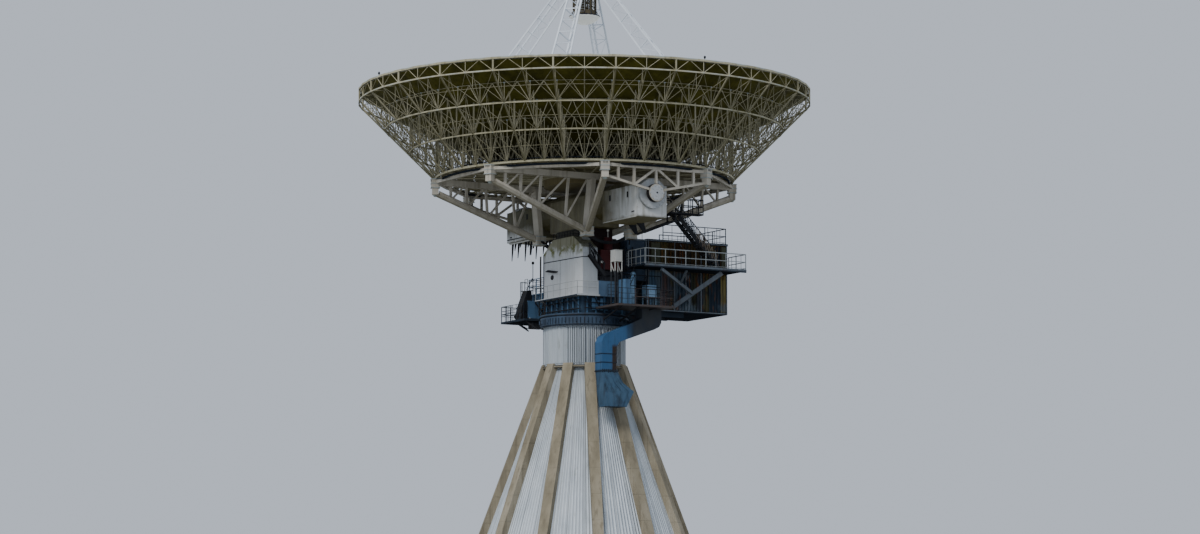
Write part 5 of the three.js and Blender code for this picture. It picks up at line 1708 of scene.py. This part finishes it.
steel.fence(SERVICE_PATH, SERVICE_Z, (0.18, 0.36, 0.54), 0.37, RAIL)
for k in range(16):
    x = -0.30 + 0.145 * k
    steel.box((x, -2.94, 12.905), (x + 0.03, -1.40, 12.935))
for x, foot_z in ((-0.10, 12.50), (0.60, 12.50), (1.30, 12.80)):
    steel.bar((x, -2.80, 12.92), (x, -1.42, foot_z), 0.04, 0.05)
print("railing round", len(SERVICE_PATH) - 1, "sides")

# %% Frames and pipes
FRAME_Y, FRAME_LOW, FRAME_HIGH = -1.98, 12.98, 14.10

for x in (0.28, 0.90, 1.36, 1.94):
    steel.tube((x, FRAME_Y, FRAME_LOW), (x, FRAME_Y, FRAME_HIGH), 0.016)
for z in (13.32, 13.72, FRAME_HIGH):
    steel.tube((0.28, FRAME_Y, z), (1.94, FRAME_Y, z), 0.014)
steel.tube((0.90, FRAME_Y, 13.32), (1.36, FRAME_Y, FRAME_HIGH), 0.012)
steel.tube((0.42, -1.50, FRAME_LOW), (0.42, -1.50, 14.20), 0.022)
steel.tube((0.72, -1.60, FRAME_LOW), (0.72, -1.60, 14.05), 0.018)
steel.path([(0.42, -1.50, 14.20), (0.50, -1.49, 14.26), (0.80, -1.49, 14.26)], 0.020)
make_piece("service_ladders", steel, DARK_STEEL, "alidade")

# %% Trim of the instrument cabinet
TRIM_LEFT, TRIM_RIGHT = -0.285, 0.025
VENT_STEP = 0.085

trim = Shape()
for z in (14.46, 14.852):
    trim.box((TRIM_LEFT, -2.62, z), (TRIM_RIGHT, -2.29, z + 0.016))
for k in range(3):
    x = -0.25 + VENT_STEP * k
    trim.box((x, -2.612, 14.52), (x + 0.06, -2.602, 14.80))
make_piece("cabinet_trim", trim, WHITE_PAINT, "alidade")

# %% Boxes and column
BOX_FOOT_Z = 12.975
COLUMN_PROFILE = ((0.09, 12.975), (0.10, 13.0), (0.10, 14.18), (0.06, 14.25))

service = Shape()
service.box((1.47, -1.88, 13.36), (1.83, -1.50, 13.80))
for x in (1.49, 1.81):
    for y in (-1.86, -1.52):
        service.tube((x, y, BOX_FOOT_Z), (x, y, 13.37), 0.020)
service.turned((1.05, -1.60, 0), COLUMN_PROFILE, 16)
service.box((0.46, -2.05, BOX_FOOT_Z), (0.72, -1.80, 13.42))
service.tube((0.59, -1.92, 13.42), (0.59, -1.92, 13.52), 0.06, 12)
make_piece("service_boxes", service, PALE_BLUE_PAINT, "alidade")

# %% [markdown]
# ## Duct and neck
# The duct has a flange where it meets its flared skirt, with bolts and stiffening ribs. They ride on
# the head, as the duct does. On the neck of the tower, thin strips cover the seams of the cladding.

# %% Flange of the duct
FLANGE_LOW, FLANGE_HIGH = 10.645, 10.672
STRAP_LEFT, STRAP_FRONT_Y = -0.648, -2.312

flange = Shape()
flange.box((-0.67, -2.335, FLANGE_LOW), (-0.01, -1.845, FLANGE_HIGH))
for k in range(9):
    x = -0.64 + k * 0.077
    flange.box((x, -2.345, 10.60 + 0.02 * (k % 3)), (x + 0.038, -2.318, 10.72))
for k in range(5):
    y = -2.28 + k * 0.095
    flange.tube((-0.66, y, FLANGE_HIGH), (-0.66, y, 10.70), 0.016)
for z in (10.95, 11.25):
    flange.box((STRAP_LEFT, STRAP_FRONT_Y, z), (-0.037, STRAP_FRONT_Y + 0.010, z + 0.025))
    flange.box((STRAP_LEFT, STRAP_FRONT_Y, z), (STRAP_LEFT + 0.010, -1.86, z + 0.025))
make_piece("duct_flange", flange, SLATE_PAINT, "alidade")

# %% Ribs of the skirt
SKIRT_ROWS = [(10.60, -0.642, -0.02, -2.332), (10.25, -0.66, 0.13, -2.49), (9.95, -0.69, 0.46, -2.65),
              (9.42, -0.72, 0.06, -2.825)]

skirt_ribs = Shape()
for share in (0.08, 0.30, 0.55, 0.80):
    points = [(left + (right - left) * share, y, z) for z, left, right, y in SKIRT_ROWS]
    skirt_ribs.path(points, 0.011, 5)
make_piece("skirt_ribs", skirt_ribs, SKIRT_PAINT, "alidade")

# %% Dark joints of the neck
JOINT_RADIUS, JOINT_STRIPS = 1.450, 28

joints = Shape()
for z in (10.935, 10.875):
    joints.hoop((0, 0, z), UP, 1.490, 0.010, 96)
for k in range(JOINT_STRIPS):
    foot = polar(JOINT_RADIUS, -143 + 3.1 * k, 10.98)
    joints.bar(foot, foot + up_by(1.30), 0.012, 0.012)
make_piece("neck_joints", joints, SLATE_PAINT, "tower")

# %% Pale strips of the neck
STRIP_RADIUS, STRIPS = 1.449, 28
STRIPS_LOW = 11.02

neck_strips = Shape()
neck_strips.hoop((0, 0, STRIPS_LOW), UP, 1.453, 0.008, 96)
neck_strips.hoop((0, 0, 12.28), UP, 1.453, 0.010, 96)
for k in range(STRIPS):
    foot = polar(STRIP_RADIUS, -50 + 10 * k, STRIPS_LOW)
    neck_strips.bar(foot, foot + up_by(1.24), 0.014, 0.012)
make_piece("neck_strips", neck_strips, CLADDING, "tower")
